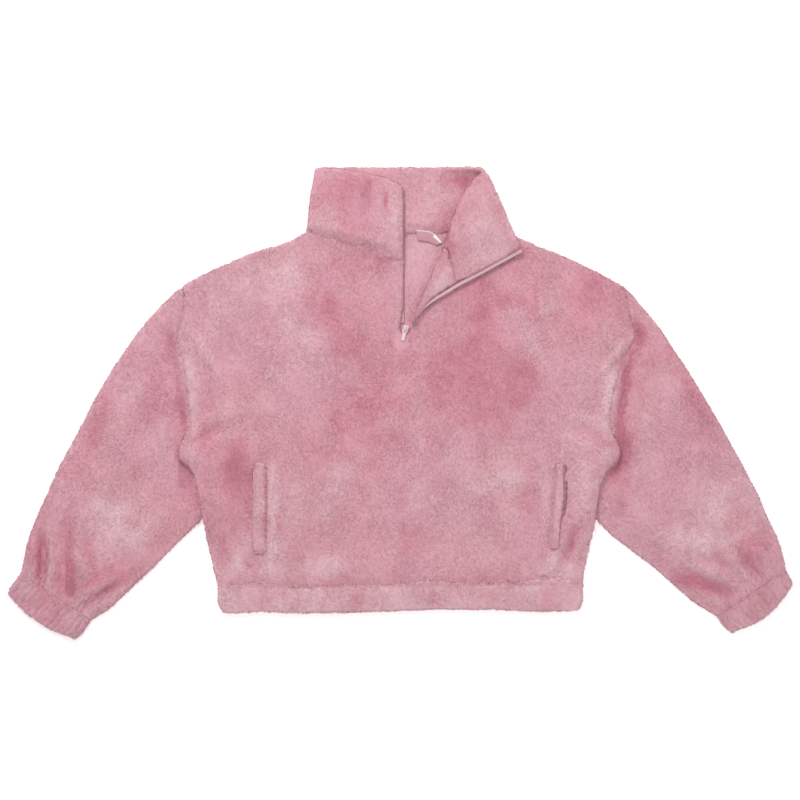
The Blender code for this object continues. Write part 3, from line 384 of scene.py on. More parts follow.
# creases: start, middle, end, half width, height (below zero is a trough), all in millimetres
frontCreases = [
    ((-224, -214), (-214, -234), (-194, -256), 5.0, -2.4),
    ((-180, -80), (-179, -146), (-181, -214), 6.0, 1.4),
    ((-212, -96), (-213, -150), (-211, -206), 4.0, -1.6),
    ((206, -84), (203, -146), (199, -206), 6.0, 1.2),
    ((-234, -204), (-224, -226), (-206, -250), 7.0, 2.0),
    ((-252, -238), (-247, -218), (-250, -192), 6.0, -1.4),
    ((252, -170), (242, -205), (222, -240), 6.0, -2.2),
    ((240, -160), (226, -200), (206, -236), 8.0, 1.8),
    ((260, -200), (251, -222), (246, -244), 6.0, -1.2),
    ((330, 97), (308, 76), (274, 30), 7.0, 2.2),
    ((318, 66), (296, 52), (282, 24), 6.0, -1.6),
    ((-292, 98), (-280, 74), (-258, 46), 8.0, 1.5),
    ((-285, 114), (-268, 84), (-254, 56), 6.0, -1.1),
    ((-300, -60), (-276, -40), (-236, -30), 8.0, -1.6),
    ((-298, -46), (-270, -22), (-232, -12), 9.0, 1.4),
    ((298, -60), (272, -42), (234, -38), 8.0, -1.6),
    ((294, -44), (266, -24), (228, -18), 9.0, 1.4),
    ((-15, 99), (-14, 78), (-12, 50), 3.5, -1.5),
    ((-5, 92), (-2, 66), (-6, 36), 6.0, 0.9),
    ((16, 88), (22, 64), (20, 36), 7.0, -0.7),
    ((-12.5, 192), (-12.5, 170), (-12.5, 148), 2.2, -0.7),
    ((-170, 172), (-144, 110), (-118, 50), 22.0, 1.5),
    ((-122, 190), (-96, 140), (-70, 86), 14.0, -1.0),
    ((188, 150), (156, 80), (128, 10), 22.0, 1.5),
    ((120, 150), (106, 110), (84, 60), 14.0, -1.1),
    ((180, 106), (198, 66), (214, 18), 11.0, 1.3),
    ((-60, -40), (-84, -110), (-116, -190), 17.0, 1.2),
    ((70, -30), (88, -100), (108, -180), 18.0, 1.2),
    ((4, -50), (-2, -120), (4, -200), 15.0, -1.0),
    ((-150, -90), (-162, -150), (-150, -212), 15.0, 1.1),
    ((150, -80), (166, -140), (152, -208), 15.0, 1.2),
    ((-236, 40), (-242, -4), (-232, -56), 14.0, 1.0),
    ((240, 44), (250, 0), (240, -50), 14.0, 1.0),
    ((-214, 168), (-190, 150), (-150, 148), 12.0, -0.8),
    ((226, 170), (206, 140), (196, 110), 13.0, 0.9),
    ((-120, -222), (-90, -232), (-60, -222), 12.0, 1.0),
    ((90, -222), (130, -232), (170, -220), 12.0, 1.0),
    ((-304, 84), (-290, 20), (-284, -40), 7.0, 1.7),
    ((-300, -58), (-292, -72), (-274, -84), 8.0, 1.7),
    ((308, 84), (296, 20), (288, -40), 7.0, 1.7),
    ((298, -60), (290, -74), (274, -86), 8.0, 1.7),
    ((-276, 80), (-268, 20), (-266, -30), 5.0, -0.9),
    ((284, 70), (276, 20), (272, -30), 5.0, -0.8),
    ((4, 84), (6, -70), (4, -246), 3.5, -0.7),
    ((-3, 190), (-3, 150), (-3, 110), 4.5, 0.9),
]
leftSleeveCreases = [
    ((-503, -184), (-494, -224), (-503, -262), 6.0, -3.6),
    ((-514, -196), (-511, -226), (-517, -252), 6.0, 1.8),
    ((-480, -140), (-489, -212), (-494, -266), 6.5, 2.6),
    ((-456, -140), (-470, -196), (-457, -274), 6.5, -3.0),
    ((-464, -202), (-450, -224), (-438, -246), 7.0, 2.6),
    ((-390, -250), (-424, -276), (-448, -290), 6.0, -3.0),
    ((-384, -236), (-414, -256), (-444, -270), 7.0, 2.0),
    ((-438, -186), (-434, -222), (-426, -254), 6.0, -2.0),
    ((-476, -220), (-480, -248), (-480, -280), 5.0, -2.0),
    ((-350, 66), (-376, 6), (-402, -56), 18.0, 1.6),
    ((-394, 46), (-418, -10), (-444, -76), 13.0, -1.4),
    ((-322, 20), (-342, -40), (-352, -100), 14.0, 1.4),
    ((-372, -90), (-398, -136), (-424, -190), 15.0, -1.1),
    ((-446, -80), (-472, -130), (-492, -180), 13.0, 1.4),
    ((-318, -130), (-346, -176), (-376, -212), 11.0, 1.4),
    ((-326, 88), (-306, 20), (-302, -44), 8.0, -2.8),
    ((-314, -62), (-302, -96), (-286, -144), 8.0, -2.8),
]
rightSleeveCreases = [
    ((392, -237), (432, -256), (474, -269), 6.0, -3.6),
    ((398, -222), (432, -236), (466, -247), 7.0, 2.4),
    ((478, -218), (492, -234), (508, -250), 6.0, -2.8),
    ((486, -200), (506, -214), (526, -230), 7.0, 2.0),
    ((408, -257), (436, -272), (454, -285), 6.0, 1.6),
    ((456, -204), (470, -222), (484, -244), 6.0, 2.0),
    ((438, -206), (452, -228), (462, -250), 5.0, -2.0),
    ((506, -172), (518, -196), (530, -216), 6.0, -1.8),
    ((362, 62), (386, 6), (412, -52), 18.0, 1.6),
    ((404, 40), (428, -12), (454, -76), 13.0, -1.4),
    ((332, 24), (346, -36), (356, -98), 14.0, 1.3),
    ((380, -96), (410, -144), (442, -196), 15.0, -1.1),
    ((458, -84), (482, -132), (504, -176), 13.0, 1.4),
    ((324, -134), (354, -178), (384, -210), 11.0, 1.4),
    ((334, 88), (314, 20), (306, -44), 8.0, -2.8),
    ((312, -64), (299, -96), (284, -144), 8.0, -2.8),
]
collarCreases = [
    ((-19, 300), (-20, 280), (-19, 258), 3.2, -1.5),
    ((-48, 304), (-50, 278), (-47, 238), 6.0, -1.1),
    ((-32, 306), (-34, 270), (-31, 232), 8.0, 0.9),
    ((-84, 310), (-92, 284), (-90, 250), 9.0, 1.1),
    ((-114, 320), (-110, 290), (-120, 256), 7.0, -1.1),
    ((-5, 302), (-6, 260), (-5, 205), 3.2, 0.9),
    ((106, 302), (114, 264), (130, 224), 9.0, 1.1),
    ((84, 270), (90, 236), (98, 204), 7.0, -1.1),
    ((132, 280), (142, 250), (154, 224), 6.0, -0.8),
    ((22, 300), (30, 276), (24, 252), 7.0, -0.7),
]
noCreases = []
# the step at the collar's seams is softened: the collar dips to it and the front rises to it
collarDips = [
    ((-133, 244), (-64, 217), (6, 203), 7.5, -4.0),
    ((0, 240), (34, 240), (66, 240), 6.0, -2.6),
]
frontDips = [((-133, 242), (-64, 215), (6, 201), 8.0, 1.3)]

# where the nap was brushed, and where painted shade and painted highlight are laid in: shadows beside raised
# edges, welts and the collar's roll, and highlight on ridges: middle x, y, half width, half height in
# millimetres, turn in degrees, then how much paler (above zero) or deeper (below zero) it is
frontPatches = [
    (112, 42, 92, 85, 0, -0.14),
    (-50, -22, 52, 58, 0, -0.15),
    (20, -71, 62, 46, 0, -0.10),
    (119, 141, 72, 36, 0, -0.13),
    (267, 141, 45, 40, 0, -0.16),
    (-50, 193, 52, 20, 0, -0.14),
    (-171, 176, 46, 40, 0, 0.15),
    (-143, 80, 45, 60, 10, 0.09),
    (-249, 106, 40, 60, -10, 0.11),
    (-178, -15, 60, 45, 0, 0.05),
    (-73, 77, 26, 26, 0, -0.13),
    (-115, 126, 30, 28, 0, -0.13),
    (-242, 84, 28, 26, 0, -0.10),
    # painted shadow along the left welt's outer side, then painted highlight on its ridge
    (-224, -99, 22, 62, 0, -0.22),
    (-179, -146, 9, 74, 0, 0.20),
    (-176, -206, 22, 14, 20, 0.16),
    (-136, -127, 36, 42, 0, 0.07),
    (-108, -234, 90, 18, 0, 0.18),
    (-221, -213, 12, 36, -32, 0.16),
    (147, -106, 42, 26, 0, 0.14),
    (205, -150, 12, 62, 6, 0.12),
    (253, -113, 20, 60, 0, 0.13),
    (238, -168, 7, 44, 6, -0.20),
    (185, 80, 14, 46, 22, 0.16),
    (112, -171, 70, 30, 0, 0.03),
    (20, -185, 26, 26, 0, -0.14),
    (200, -236, 60, 16, 0, 0.12),
    # painted highlight on the ridges along the body's sides
    (-294, 10, 12, 92, 0, 0.15),
    (291, 10, 11, 92, 0, 0.15),
    (57, 168, 34, 14, 56, 0.24),
    (10, 70, 280, 150, 0, -0.05),
    (6, 105, 13, 11, 0, 0.16),
]
leftSleevePatches = [
    (-430, -60, 90, 190, -30, -0.05),
    # painted shadow on the sleeve next to the body's raised edge, in the next five rows
    (-310, 25, 6, 72, 7.5, -0.26),
    (-316, 70, 14, 32, 0, -0.32),
    (-356, 49, 36, 26, 0, -0.14),
    (-340, -8, 30, 36, 0, -0.14),
    (-300, -96, 12, 38, 0, -0.42),
    (-391, -43, 50, 50, 0, 0.05),
    (-405, -164, 42, 52, -20, 0.25),
    (-440, -71, 15, 62, -28, -0.15),
    (-507, -213, 10, 32, 0, -0.30),
    (-465, -248, 14, 24, 0, -0.30),
    (-405, -248, 40, 20, 0, -0.20),
]
rightSleevePatches = [
    (430, -60, 90, 190, 30, -0.03),
    # painted shadow on the sleeve next to the body's raised edge, in the next five rows
    (326, -16, 26, 62, 0, -0.14),
    (352, 62, 30, 34, 0, -0.08),
    (315, 25, 6, 74, -9, -0.26),
    (309, -60, 14, 82, 0, -0.42),
    (330, 91, 14, 26, 0, -0.32),
    (409, -8, 26, 72, 28, -0.14),
    (351, -50, 30, 50, 0, 0.04),
    (430, -157, 40, 52, 20, 0.20),
    (493, -213, 20, 26, 0, -0.25),
    (430, -258, 50, 10, -17, -0.35),
    (395, -192, 50, 18, -10, 0.17),
]
collarPatches = [
    (-44, 296, 5, 17, 8, -0.18),
    (-20, 280, 4, 17, 0, -0.24),
    (-66, 297, 32, 26, 0, -0.15),
    # painted shadow under the collar's roll, in the next two rows
    (80, 311, 26, 12, 0, -0.38),
    (66, 236, 9, 34, 14, -0.28),
    (130, 236, 40, 50, 0, 0.17),
    (-108, 246, 20, 42, 0, 0.17),
    (-12, 250, 9, 60, 0, 0.10),
    (-66, 268, 62, 46, 0, -0.13),
    (48, 290, 36, 34, 0, 0.09),
]
hemPatches = [
    (0, -275, 300, 40, 0, 0.20),
    (-190, -276, 10, 16, 0, -0.16),
    (-60, -274, 12, 14, 0, -0.22),
    (46, -276, 9, 16, 0, -0.16),
    (120, -272, 22, 10, 0, -0.12),
    (206, -276, 9, 16, 0, -0.16),
]
backPatches = [(35, 190, 42, 60, 0, 0.08)]
# painted highlight on the welts' raised strips
weltPatches = [(-197, -145, 10, 80, 0, 0.15), (222, -145, 14, 80, 0, 0.16)]
cuffPatches = [
    (-517, -262, 16, 12, 0, 0.10),
    (-497, -272, 8, 18, -30, -0.14),
    (-478, -298, 7, 16, -30, -0.12),
    (-462, -300, 16, 12, 0, 0.10),
    (527, -262, 16, 12, 0, 0.10),
    (505, -268, 7, 18, 30, -0.12),
    (486, -296, 7, 16, 30, -0.12),
    (470, -298, 16, 12, 0, 0.10),
]


def creaseHeights(x, y, creases):
    height = np.zeros_like(x)
    for start, middle, end, width, rise in creases:
        nearest, share = np.full_like(x, 9e9), np.zeros_like(x)
        stops = np.linspace(0, 1, 9)
        line = [((1 - t) ** 2 * np.array(start) + 2 * t * (1 - t) * np.array(middle)
                 + t * t * np.array(end)) / 1000 for t in stops]
        for k in range(8):
            a, step = line[k], line[k + 1] - line[k]
            t = np.clip(((x - a[0]) * step[0] + (y - a[1]) * step[1]) / (step @ step), 0, 1)
            away = np.hypot(x - a[0] - t * step[0], y - a[1] - t * step[1])
            closer = away < nearest
            nearest = np.where(closer, away, nearest)
            share = np.where(closer, (k + t) / 8, share)
        taper = np.sin(np.pi * np.clip(share, 0.04, 0.96)) ** 0.7
        across = nearest / (width / 1000)
        profile = np.exp(-across ** 2) - 0.28 * np.exp(-((across - 1.9) / 0.8) ** 2)
        uneven = 1 + 0.35 * softNoise(x, y, 0.016, 7)
        height += rise / 1000 * taper * profile * uneven
    return height


# puckers that run out from a gathered seam: its two ends in millimetres, how many, reach, height
puckerSeams = {
    "front_panel": [((-256, -258), (257, -252), 19, 20, 1.15)],
    "hem_band": [((-256, -258), (257, -252), 21, 34, 0.85)],
    "sleeve_left": [((-532, -243), (-433, -306), 10, 26, 1.2)],
    "sleeve_right": [((540, -237), (444, -300), 10, 26, 1.2)],
    "cuff_left": [((-532, -243), (-433, -306), 11, 26, 0.40)],
    "cuff_right": [((540, -237), (444, -300), 11, 26, 0.40)],
}


def puckerHeights(x, y, seams):
    height = np.zeros_like(x)
    for start, end, count, reach, rise in seams:
        a, b = np.array(start) / 1000, np.array(end) / 1000
        step = b - a
        length = math.hypot(*step)
        along = ((x - a[0]) * step[0] + (y - a[1]) * step[1]) / length ** 2
        away = np.abs((x - a[0]) * step[1] - (y - a[1]) * step[0]) / length
        shift = 0.9 * softNoise(along, along * 0, 0.11, 3)
        strength = 0.65 + 0.5 * softNoise(along, along * 0, 0.06, 5)
        wave = np.cos(2 * np.pi * (along * count + shift)) + 0.35 * np.cos(
            2 * np.pi * (along * count * 2.3 + 1.7 * shift))
        height += rise / 1000 * strength * wave * np.exp(-away / (reach / 1000))
    return height


# edges pushed aside: the line's start and end, its half width, then the move in x and y, millimetres
armpitPushes = [
    ((-298, -60), (-294, -76), 12, -9.0, -1.0),
    ((297, -60), (293, -76), 12, 9.0, -1.0),
]
edgePushes = {
    "front_panel": armpitPushes,
    "back_panel": armpitPushes,
    "collar": [((96, 178), (170, 214), 9, 1.2, -2.2)],
}


def pushedAside(x, y, pushes):
    move = np.zeros((len(x), 2))
    for start, end, width, moveX, moveY in pushes:
        a, step = np.array(start) / 1000, (np.array(end) - np.array(start)) / 1000
        t = np.clip(((x - a[0]) * step[0] + (y - a[1]) * step[1]) / (step @ step), 0, 1)
        away = np.hypot(x - a[0] - t * step[0], y - a[1] - t * step[1]) * 1000 / width
        move += np.exp(-away ** 2)[:, None] * np.array((moveX, moveY)) / 1000
    return move


def treeOf(thing):
    return BVHTree.FromPolygons(pointsOf(thing.data).tolist(), trianglesOf(thing.data).tolist())


solidTrees = {node: treeOf(bpy.data.objects[node]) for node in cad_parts
              if node not in ("zip_slider", "zip_pull")}


def coverageGrid(cell, reach):
    # how much of the ground round each place the garment covers: half at its outline, all inside
    low, high = cadBounds
    across = int((high[0] - low[0]) / cell) + 21
    upward = int((high[1] - low[1]) / cell) + 21
    covered = np.zeros((across, upward))
    for i in range(across):
        for j in range(upward):
            start = Vector((low[0] + (i - 10) * cell, low[1] + (j - 10) * cell, 0.2))
            for tree in solidTrees.values():
                if tree.ray_cast(start, Vector((0, 0, -1)))[0]:
                    covered[i, j] = 1.0
                    break
    for passes in range(2):
        for axis in (0, 1):
            total = sum(np.roll(covered, shift, axis) for shift in range(-reach, reach + 1))
            covered = total / (2 * reach + 1)
    return covered


gridLook = {"cell": 0.0030, "reach": 3}
coverage = coverageGrid(gridLook["cell"], gridLook["reach"])


def outlineNearness(x, y):
    u = np.clip((x - cadBounds[0][0]) / gridLook["cell"] + 10, 0, coverage.shape[0] - 2)
    v = np.clip((y - cadBounds[0][1]) / gridLook["cell"] + 10, 0, coverage.shape[1] - 2)
    i, j = np.floor(u).astype(int), np.floor(v).astype(int)
    s, t = u - i, v - j
    low = blend(coverage[i, j], coverage[i + 1, j], s)
    high = blend(coverage[i, j + 1], coverage[i + 1, j + 1], s)
    return 1 - easeStep((blend(low, high, t) - 0.50) / 0.47)


# trough: how much the creases' heights add painted shade and highlight to the tone; outline: how much
# painted sheen the outline gets
napLook = {"trough": 0.085, "outline": 0.13, "ragged": 0.40, "patches": 1.35}


# the pile's tone: how the nap lies, with painted shade and painted highlight from the creases, the patches
# and the outline
def napToneWithPaintedLight(x, y, creases, patches):
    # painted shade and highlight: the tone is deeper in the creases' troughs and paler on their ridges
    tone = np.clip(creaseHeights(x, y, creases) * 1000 * napLook["trough"], -0.30, 0.13)
    ragged = napLook["ragged"] * (softNoise(x, y, 0.024, 41) + 0.6 * softNoise(x, y, 0.010, 42))
    for middleX, middleY, halfWidth, halfHeight, turn, change in patches:
        c, s = math.cos(math.radians(turn)), math.sin(math.radians(turn))
        dx, dy = x - middleX / 1000, y - middleY / 1000
        far = np.hypot((dx * c + dy * s) * 1000 / halfWidth, (dy * c - dx * s) * 1000 / halfHeight)
        tone += napLook["patches"] * change * (1 - easeStep((far + ragged - 0.25) / 1.10))
    tone += 0.03 * softNoise(x, y, 0.060, 43)
    # painted sheen: the pile is coloured paler towards the garment's outline
    return tone + napLook["outline"] * outlineNearness(x, y)


def isNeighbour(node, other):
    return other != node and not other.startswith("zip_tape") and other != "neck_label"


def atSeam(node, point):
    return any(tree.find_nearest(point, shellLook["seamNear"] / 1000)[0] is not None
               for other, tree in solidTrees.items() if isNeighbour(node, other))


def seamReach(node, point, sideways):
    # how far it is to the neighbour across a seam, or none where the edge is free
    nearest = None
    armpit = -0.088 < point.y < -0.040 and abs(point.x) > 0.260
    limit = shellLook["armpitSeam" if armpit else "seam"] / 1000
    for other, tree in solidTrees.items():
        if isNeighbour(node, other):
            distance = tree.ray_cast(point, sideways, limit)[3]
            if distance is not None and (nearest is None or distance < nearest):
                nearest = distance
    return nearest


def lengthsAlong(line):
    return np.concatenate([[0], np.cumsum(np.linalg.norm(np.diff(line, axis=0), axis=1))])


def makeShell(node, name, look):
    source = bpy.data.objects[node]
    bm = bmesh.new()
    bm.from_mesh(source.data)
    bmesh.ops.remove_doubles(bm, verts=bm.verts, dist=0.00001)
    bmesh.ops.dissolve_degenerate(bm, edges=bm.edges, dist=0.00005)
    bm.normal_update()
    for step in range(9):
        tooLong = []
        for edge in bm.edges:
            upward = max(face.normal.z for face in edge.link_faces)
            limit = look["fine"] if upward > -0.4 else look["coarse"]
            if upward > -0.4 and edge.verts[0].co.y < look["closeBelow"]:
                limit = look["close"]
            if edge.calc_length() > limit:
                tooLong.append(edge)
        if not tooLong:
            break
        bmesh.ops.subdivide_edges(bm, edges=tooLong, cuts=1)
        bmesh.ops.triangulate(bm, faces=[face for face in bm.faces if len(face.verts) > 3])
        bm.normal_update()
    bmesh.ops.remove_doubles(bm, verts=bm.verts, dist=0.00030)
    bmesh.ops.dissolve_degenerate(bm, edges=bm.edges, dist=0.00005)
    mesh = bpy.data.meshes.new(name)
    bm.to_mesh(mesh)
    bm.free()
    thing = newThing(name, mesh)
    free = thing.vertex_groups.new(name="free")
    free.add([vertex.index for vertex in mesh.vertices if not atSeam(node, vertex.co)], 1.0, "REPLACE")
    smooth = thing.modifiers.new("soften", "SMOOTH")
    smooth.factor = 0.5
    smooth.iterations = look["soften"]
    smooth.vertex_group = "free"
    applyAll(thing)
    mesh = thing.data
    points, normals = pointsOf(mesh), normalsOf(mesh)
    edges = np.empty(len(mesh.edges) * 2, np.int32)
    mesh.edges.foreach_get("vertices", edges)
    a, b = edges.reshape(-1, 2).T
    joined = np.maximum(np.bincount(a, minlength=len(points)) + np.bincount(b, minlength=len(points)), 1)
    for passes in range(4):  # level the small pits that the CAD's long triangles leave
        total = np.bincount(a, points[b, 2], len(points)) + np.bincount(b, points[a, 2], len(points))
        level = total / joined
        pit = (normals[:, 2] > 0.2) & (level - points[:, 2] > look["pit"] / 1000)
        points[pit, 2] = level[pit]
    x, y = points[:, 0], points[:, 1]
    rise = creaseHeights(x, y, look["creases"])
    rise += creaseHeights(x, y, look["dips"])
    rise += puckerHeights(x, y, puckerSeams.get(node, []))
    rise += look["waver"] / 1000 * (softNoise(x, y, 0.034, 11) + 0.6 * softNoise(x, y, 0.015, 12))
    facing = easeStep((normals[:, 2] - 0.15) / 0.5)
    points[:, 2] += facing * (rise - look["inset"] / 1000)
    for index in np.nonzero(np.abs(normals[:, 2]) < 0.80)[0]:
        outward = Vector((normals[index, 0], normals[index, 1], 0.0)).normalized()
        reach = seamReach(node, Vector(points[index]), outward)
        move = -look["inset"] / 1000 if reach is None else reach + look["meet"] / 1000
        points[index] += np.array(outward) * move
    points[:, :2] += pushedAside(points[:, 0], points[:, 1], edgePushes.get(node, []))
    points[:, 2] = np.maximum(points[:, 2], 0.0)
    mesh.vertices.foreach_set("co", points.astype(np.float32).ravel())
    mesh.update()
    mesh.shade_smooth()
    # the skin's tone carries the nap with its painted shade, highlight and sheen
    mesh.attributes.new("pileTone", "FLOAT", "POINT").data.foreach_set(
        "value", napToneWithPaintedLight(x, y, look["creases"], look["patches"]).astype(np.float32))
    mesh.materials.append(fleeceSkin)
    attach(thing, "garment")
    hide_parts(node)
    return thing


shellLook = {
    "fine": 0.0078,  # longest edge of what shows, in metres
    "coarse": 0.022,  # longest edge of the underside
    "close": 0.0054,  # longest edge where y is below closeBelow
    "closeBelow": -9.0,
    "soften": 5,  # rounds of smoothing
    "inset": 0.7,  # how deep the skin lies under the solid's surface, in millimetres, as below
    "waver": 0.35,
    "pit": 0.45,
    "seamNear": 1.5,
    "seam": 5.5,  # how far an edge reaches for its neighbour, and in the armpit
    "armpitSeam": 12.0,
    "meet": 0.25,  # how far it goes into the neighbour
    "dips": [],
}
tight = {"fine": 0.0040, "soften": 4, "inset": 0.5, "waver": 1.0}
shellPieces = [
    ("back_panel", "backCloth", noCreases, backPatches, {"fine": 0.014}),
    ("front_panel", "frontCloth", frontCreases, frontPatches, {"meet": 1.3, "dips": frontDips}),
    ("collar", "collarCloth", collarCreases, collarPatches, {"fine": 0.0060, "dips": collarDips}),
    ("sleeve_left", "leftSleeveCloth", leftSleeveCreases, leftSleevePatches, {"closeBelow": -0.180}),
    ("sleeve_right", "rightSleeveCloth", rightSleeveCreases, rightSleevePatches, {"closeBelow": -0.180}),
    ("cuff_left", "leftCuffCloth", noCreases, cuffPatches, tight),
    ("cuff_right", "rightCuffCloth", noCreases, cuffPatches, tight),
    ("hem_band", "hemCloth", noCreases, hemPatches, {**tight, "fine": 0.0058}),
    ("pocket_welt_left", "leftWeltCloth", noCreases, weltPatches, {**tight, "waver": 0.2}),
    ("pocket_welt_right", "rightWeltCloth", noCreases, weltPatches, {**tight, "waver": 0.2}),
]
shells, toneTablesOfNode = {}, {}
for node, name, creases, patches, changes in shellPieces:
    shells[node] = makeShell(node, name, {**shellLook, "creases": creases, "patches": patches, **changes})
    toneTablesOfNode[node] = (creases, patches)
    print("shell", name, len(shells[node].data.polygons), "faces")


# ---- the pile: short leaning tufts, each of three small faces

pileLook = {
    "perSquareMillimetre": 0.47,
    "length": 3.4,  # millimetres, as the width
    "width": 1.20,
    "lean": 65.0,  # degrees from upright
    "hiddenWithin": 0.009,  # no pile where another cloth lies this near, in metres
}


def coverTree():
    points, faces, count = [], [], 0
    for shell in shells.values():
        own = pointsOf(shell.data)
        points.append(own)
        faces.append(trianglesOf(shell.data) + count)
        count += len(own)
    return BVHTree.FromPolygons(np.concatenate(points).tolist(), np.concatenate(faces).tolist())


cover = coverTree()


def napDirection(node, x, y):
    # down the body and the sleeves, with patches brushed aside
    base = {"sleeve_left": -2.05, "cuff_left": -2.1, "sleeve_right": -1.05,
            "cuff_right": -1.05}.get(node, -1.57)
    return base + 1.25 * softNoise(x, y, 0.046, 21) + 0.75 * softNoise(x, y, 0.019, 22)


def pressedBy(x, y):
    # the slider and the pull press the pile down in a strip that runs from the slider's top to the tab's end
    (topX, topY), (stepX, stepY), length = (0.0077, 0.108), (-0.242, -0.970), 0.026
    t = np.clip(((x - topX) * stepX + (y - topY) * stepY) / length, 0, 1)
    away = np.hypot(x - topX - stepX * length * t, y - topY - stepY * length * t)
    return 1 - easeStep((away - 0.0045) / 0.006)


def plantTufts(node, name, root, up, rng, length):
    count = len(root)
    x, y = root[:, 0], root[:, 1]
    angle = napDirection(node, x, y) + rng.normal(0, 0.42, count)
    heading = np.stack([np.cos(angle), np.sin(angle), np.zeros(count)], axis=1)
    heading -= up * (heading * up).sum(axis=1)[:, None]
    heading /= np.maximum(np.linalg.norm(heading, axis=1), 1e-6)[:, None]
    pressed = pressedBy(x, y)
    lean = pileLook["lean"] + 12 * softNoise(x, y, 0.030, 23) + rng.normal(0, 9, count)
    lean -= 12 * (1 - easeStep(up[:, 2] / 0.8))
    lean = np.radians(np.clip(lean + 30 * pressed, 18, 86))
    size = pileLook["length"] / 1000 * length * rng.uniform(0.7, 1.25, count) * (1 - 0.55 * pressed)
    size *= 1 + 0.18 * softNoise(x, y, 0.024, 24)
    lower = up * np.cos(lean)[:, None] + heading * np.sin(lean)[:, None]
    bent = np.minimum(lean + 0.35, 1.52)
    upper = up * np.cos(bent)[:, None] + heading * np.sin(bent)[:, None]
    side = np.cross(lower, up)
    side /= np.maximum(np.linalg.norm(side, axis=1), 1e-6)[:, None]
    turn = rng.normal(0, 0.5, count)[:, None]
    side = side * np.cos(turn) + up * np.sin(turn)
    half = side * (pileLook["width"] / 2000 * rng.uniform(0.7, 1.2, count))[:, None]
    base = root - up * 0.0003
    bend = base + lower * (size * 0.55)[:, None]
    tip = bend + upper * (size * 0.5)[:, None]
    tip[:, 2] = np.maximum(tip[:, 2], 0.0002)
    bend[:, 2] = np.maximum(bend[:, 2], 0.0002)
    tuft = np.stack([base - half, base + half, bend + half * 0.8, bend - half * 0.8, tip], axis=1)
    first = np.arange(count)[:, None] * 5
    tris = np.stack([first + [[0, 1, 2]], first + [[0, 2, 3]], first + [[3, 2, 4]]], axis=1)
    own = napToneWithPaintedLight(x, y, *toneTablesOfNode[node]) + rng.uniform(-0.07, 0.07, count)
    # painted shade down in the pile: each tuft is coloured deeper at its root and paler at its tip
    tone = np.stack([own - 0.08, own - 0.08, own, own, own + 0.07], axis=1)
    thing = meshFromArrays(name, tuft.reshape(-1, 3), tris.reshape(-1, 3), tone.ravel())
    thing.data.shade_smooth()
    shading = up + heading * rng.normal(0, 0.22, count)[:, None]
    shading = shading + side * rng.normal(0, 0.22, count)[:, None]
    shading /= np.linalg.norm(shading, axis=1)[:, None]
    thing.data.normals_split_custom_set_from_vertices(np.repeat(shading, 5, axis=0))
    thing.data.materials.append(fleecePile)
    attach(thing, "garment")
    print("pile", name, count, "tufts")
    return thing


def growPile(node, name, seed, xRange, density, length):
    mesh = shells[node].data
    points, normals, faces = pointsOf(mesh), normalsOf(mesh), trianglesOf(mesh)
    corners = points[faces]
    centres = corners.mean(axis=1)
    cross = np.cross(corners[:, 1] - corners[:, 0], corners[:, 2] - corners[:, 0])
    doubled = np.linalg.norm(cross, axis=1)
    facing = cross / np.maximum(doubled, 1e-12)[:, None]
    wanted = (facing[:, 2] > -0.45) & (centres[:, 0] >= xRange[0]) & (centres[:, 0] < xRange[1])
    wanted &= centres[:, 2] > 0.0007
    for index in np.nonzero(wanted)[0]:
        start = Vector(centres[index] + facing[index] * 0.0005)
        above = cover.ray_cast(start, Vector((0, 0, 1)))[0]
        wanted[index] = above is None or facing[index, 2] < 0.1 and not cover.ray_cast(
            start, Vector(facing[index]), pileLook["hiddenWithin"])[0]
    faces, area = faces[wanted], doubled[wanted] / 2
    rng = np.random.default_rng(seed)
    count = int(area.sum() * 1e6 * pileLook["perSquareMillimetre"] * density)
    if area.sum() == 0 or count == 0:
        return None
    chosen = faces[rng.choice(len(faces), count, p=area / area.sum())]
    a, b = rng.random(count), rng.random(count)
    over = a + b > 1
    a[over], b[over] = 1 - a[over], 1 - b[over]
    weights = np.stack([1 - a - b, a, b], axis=1)[:, :, None]
    root = (points[chosen] * weights).sum(axis=1)
    up = (normals[chosen] * weights).sum(axis=1)
    up /= np.linalg.norm(up, axis=1)[:, None]
    return plantTufts(node, name, root, up, rng, length)


everywhere = (-9.0, 9.0)
pilePieces = [
    # node, name, seed, the strip between two x, how dense, how long
    ("front_panel", "frontPileLeft", 31, (everywhere[0], -0.105), 1.0, 1.0),
    ("front_panel", "frontPileMiddle", 32, (-0.105, 0.105), 1.0, 1.0),
    ("front_panel", "frontPileRight", 33, (0.105, everywhere[1]), 1.0, 1.0),
    ("back_panel", "backPile", 34, everywhere, 1.0, 0.8),
    ("collar", "collarPile", 35, everywhere, 1.0, 0.9),
    ("sleeve_left", "leftSleevePile", 36, everywhere, 1.0, 1.0),
    ("sleeve_right", "rightSleevePile", 37, everywhere, 1.0, 1.0),
    ("cuff_left", "leftCuffPile", 38, everywhere, 1.2, 1.1),
    ("cuff_right", "rightCuffPile", 39, everywhere, 1.2, 1.1),
    ("hem_band", "hemPile", 40, everywhere, 1.1, 0.9),
    ("pocket_welt_left", "leftWeltPile", 41, everywhere, 1.1, 0.9),
    ("pocket_welt_right", "rightWeltPile", 42, everywhere, 1.1, 0.9),
]
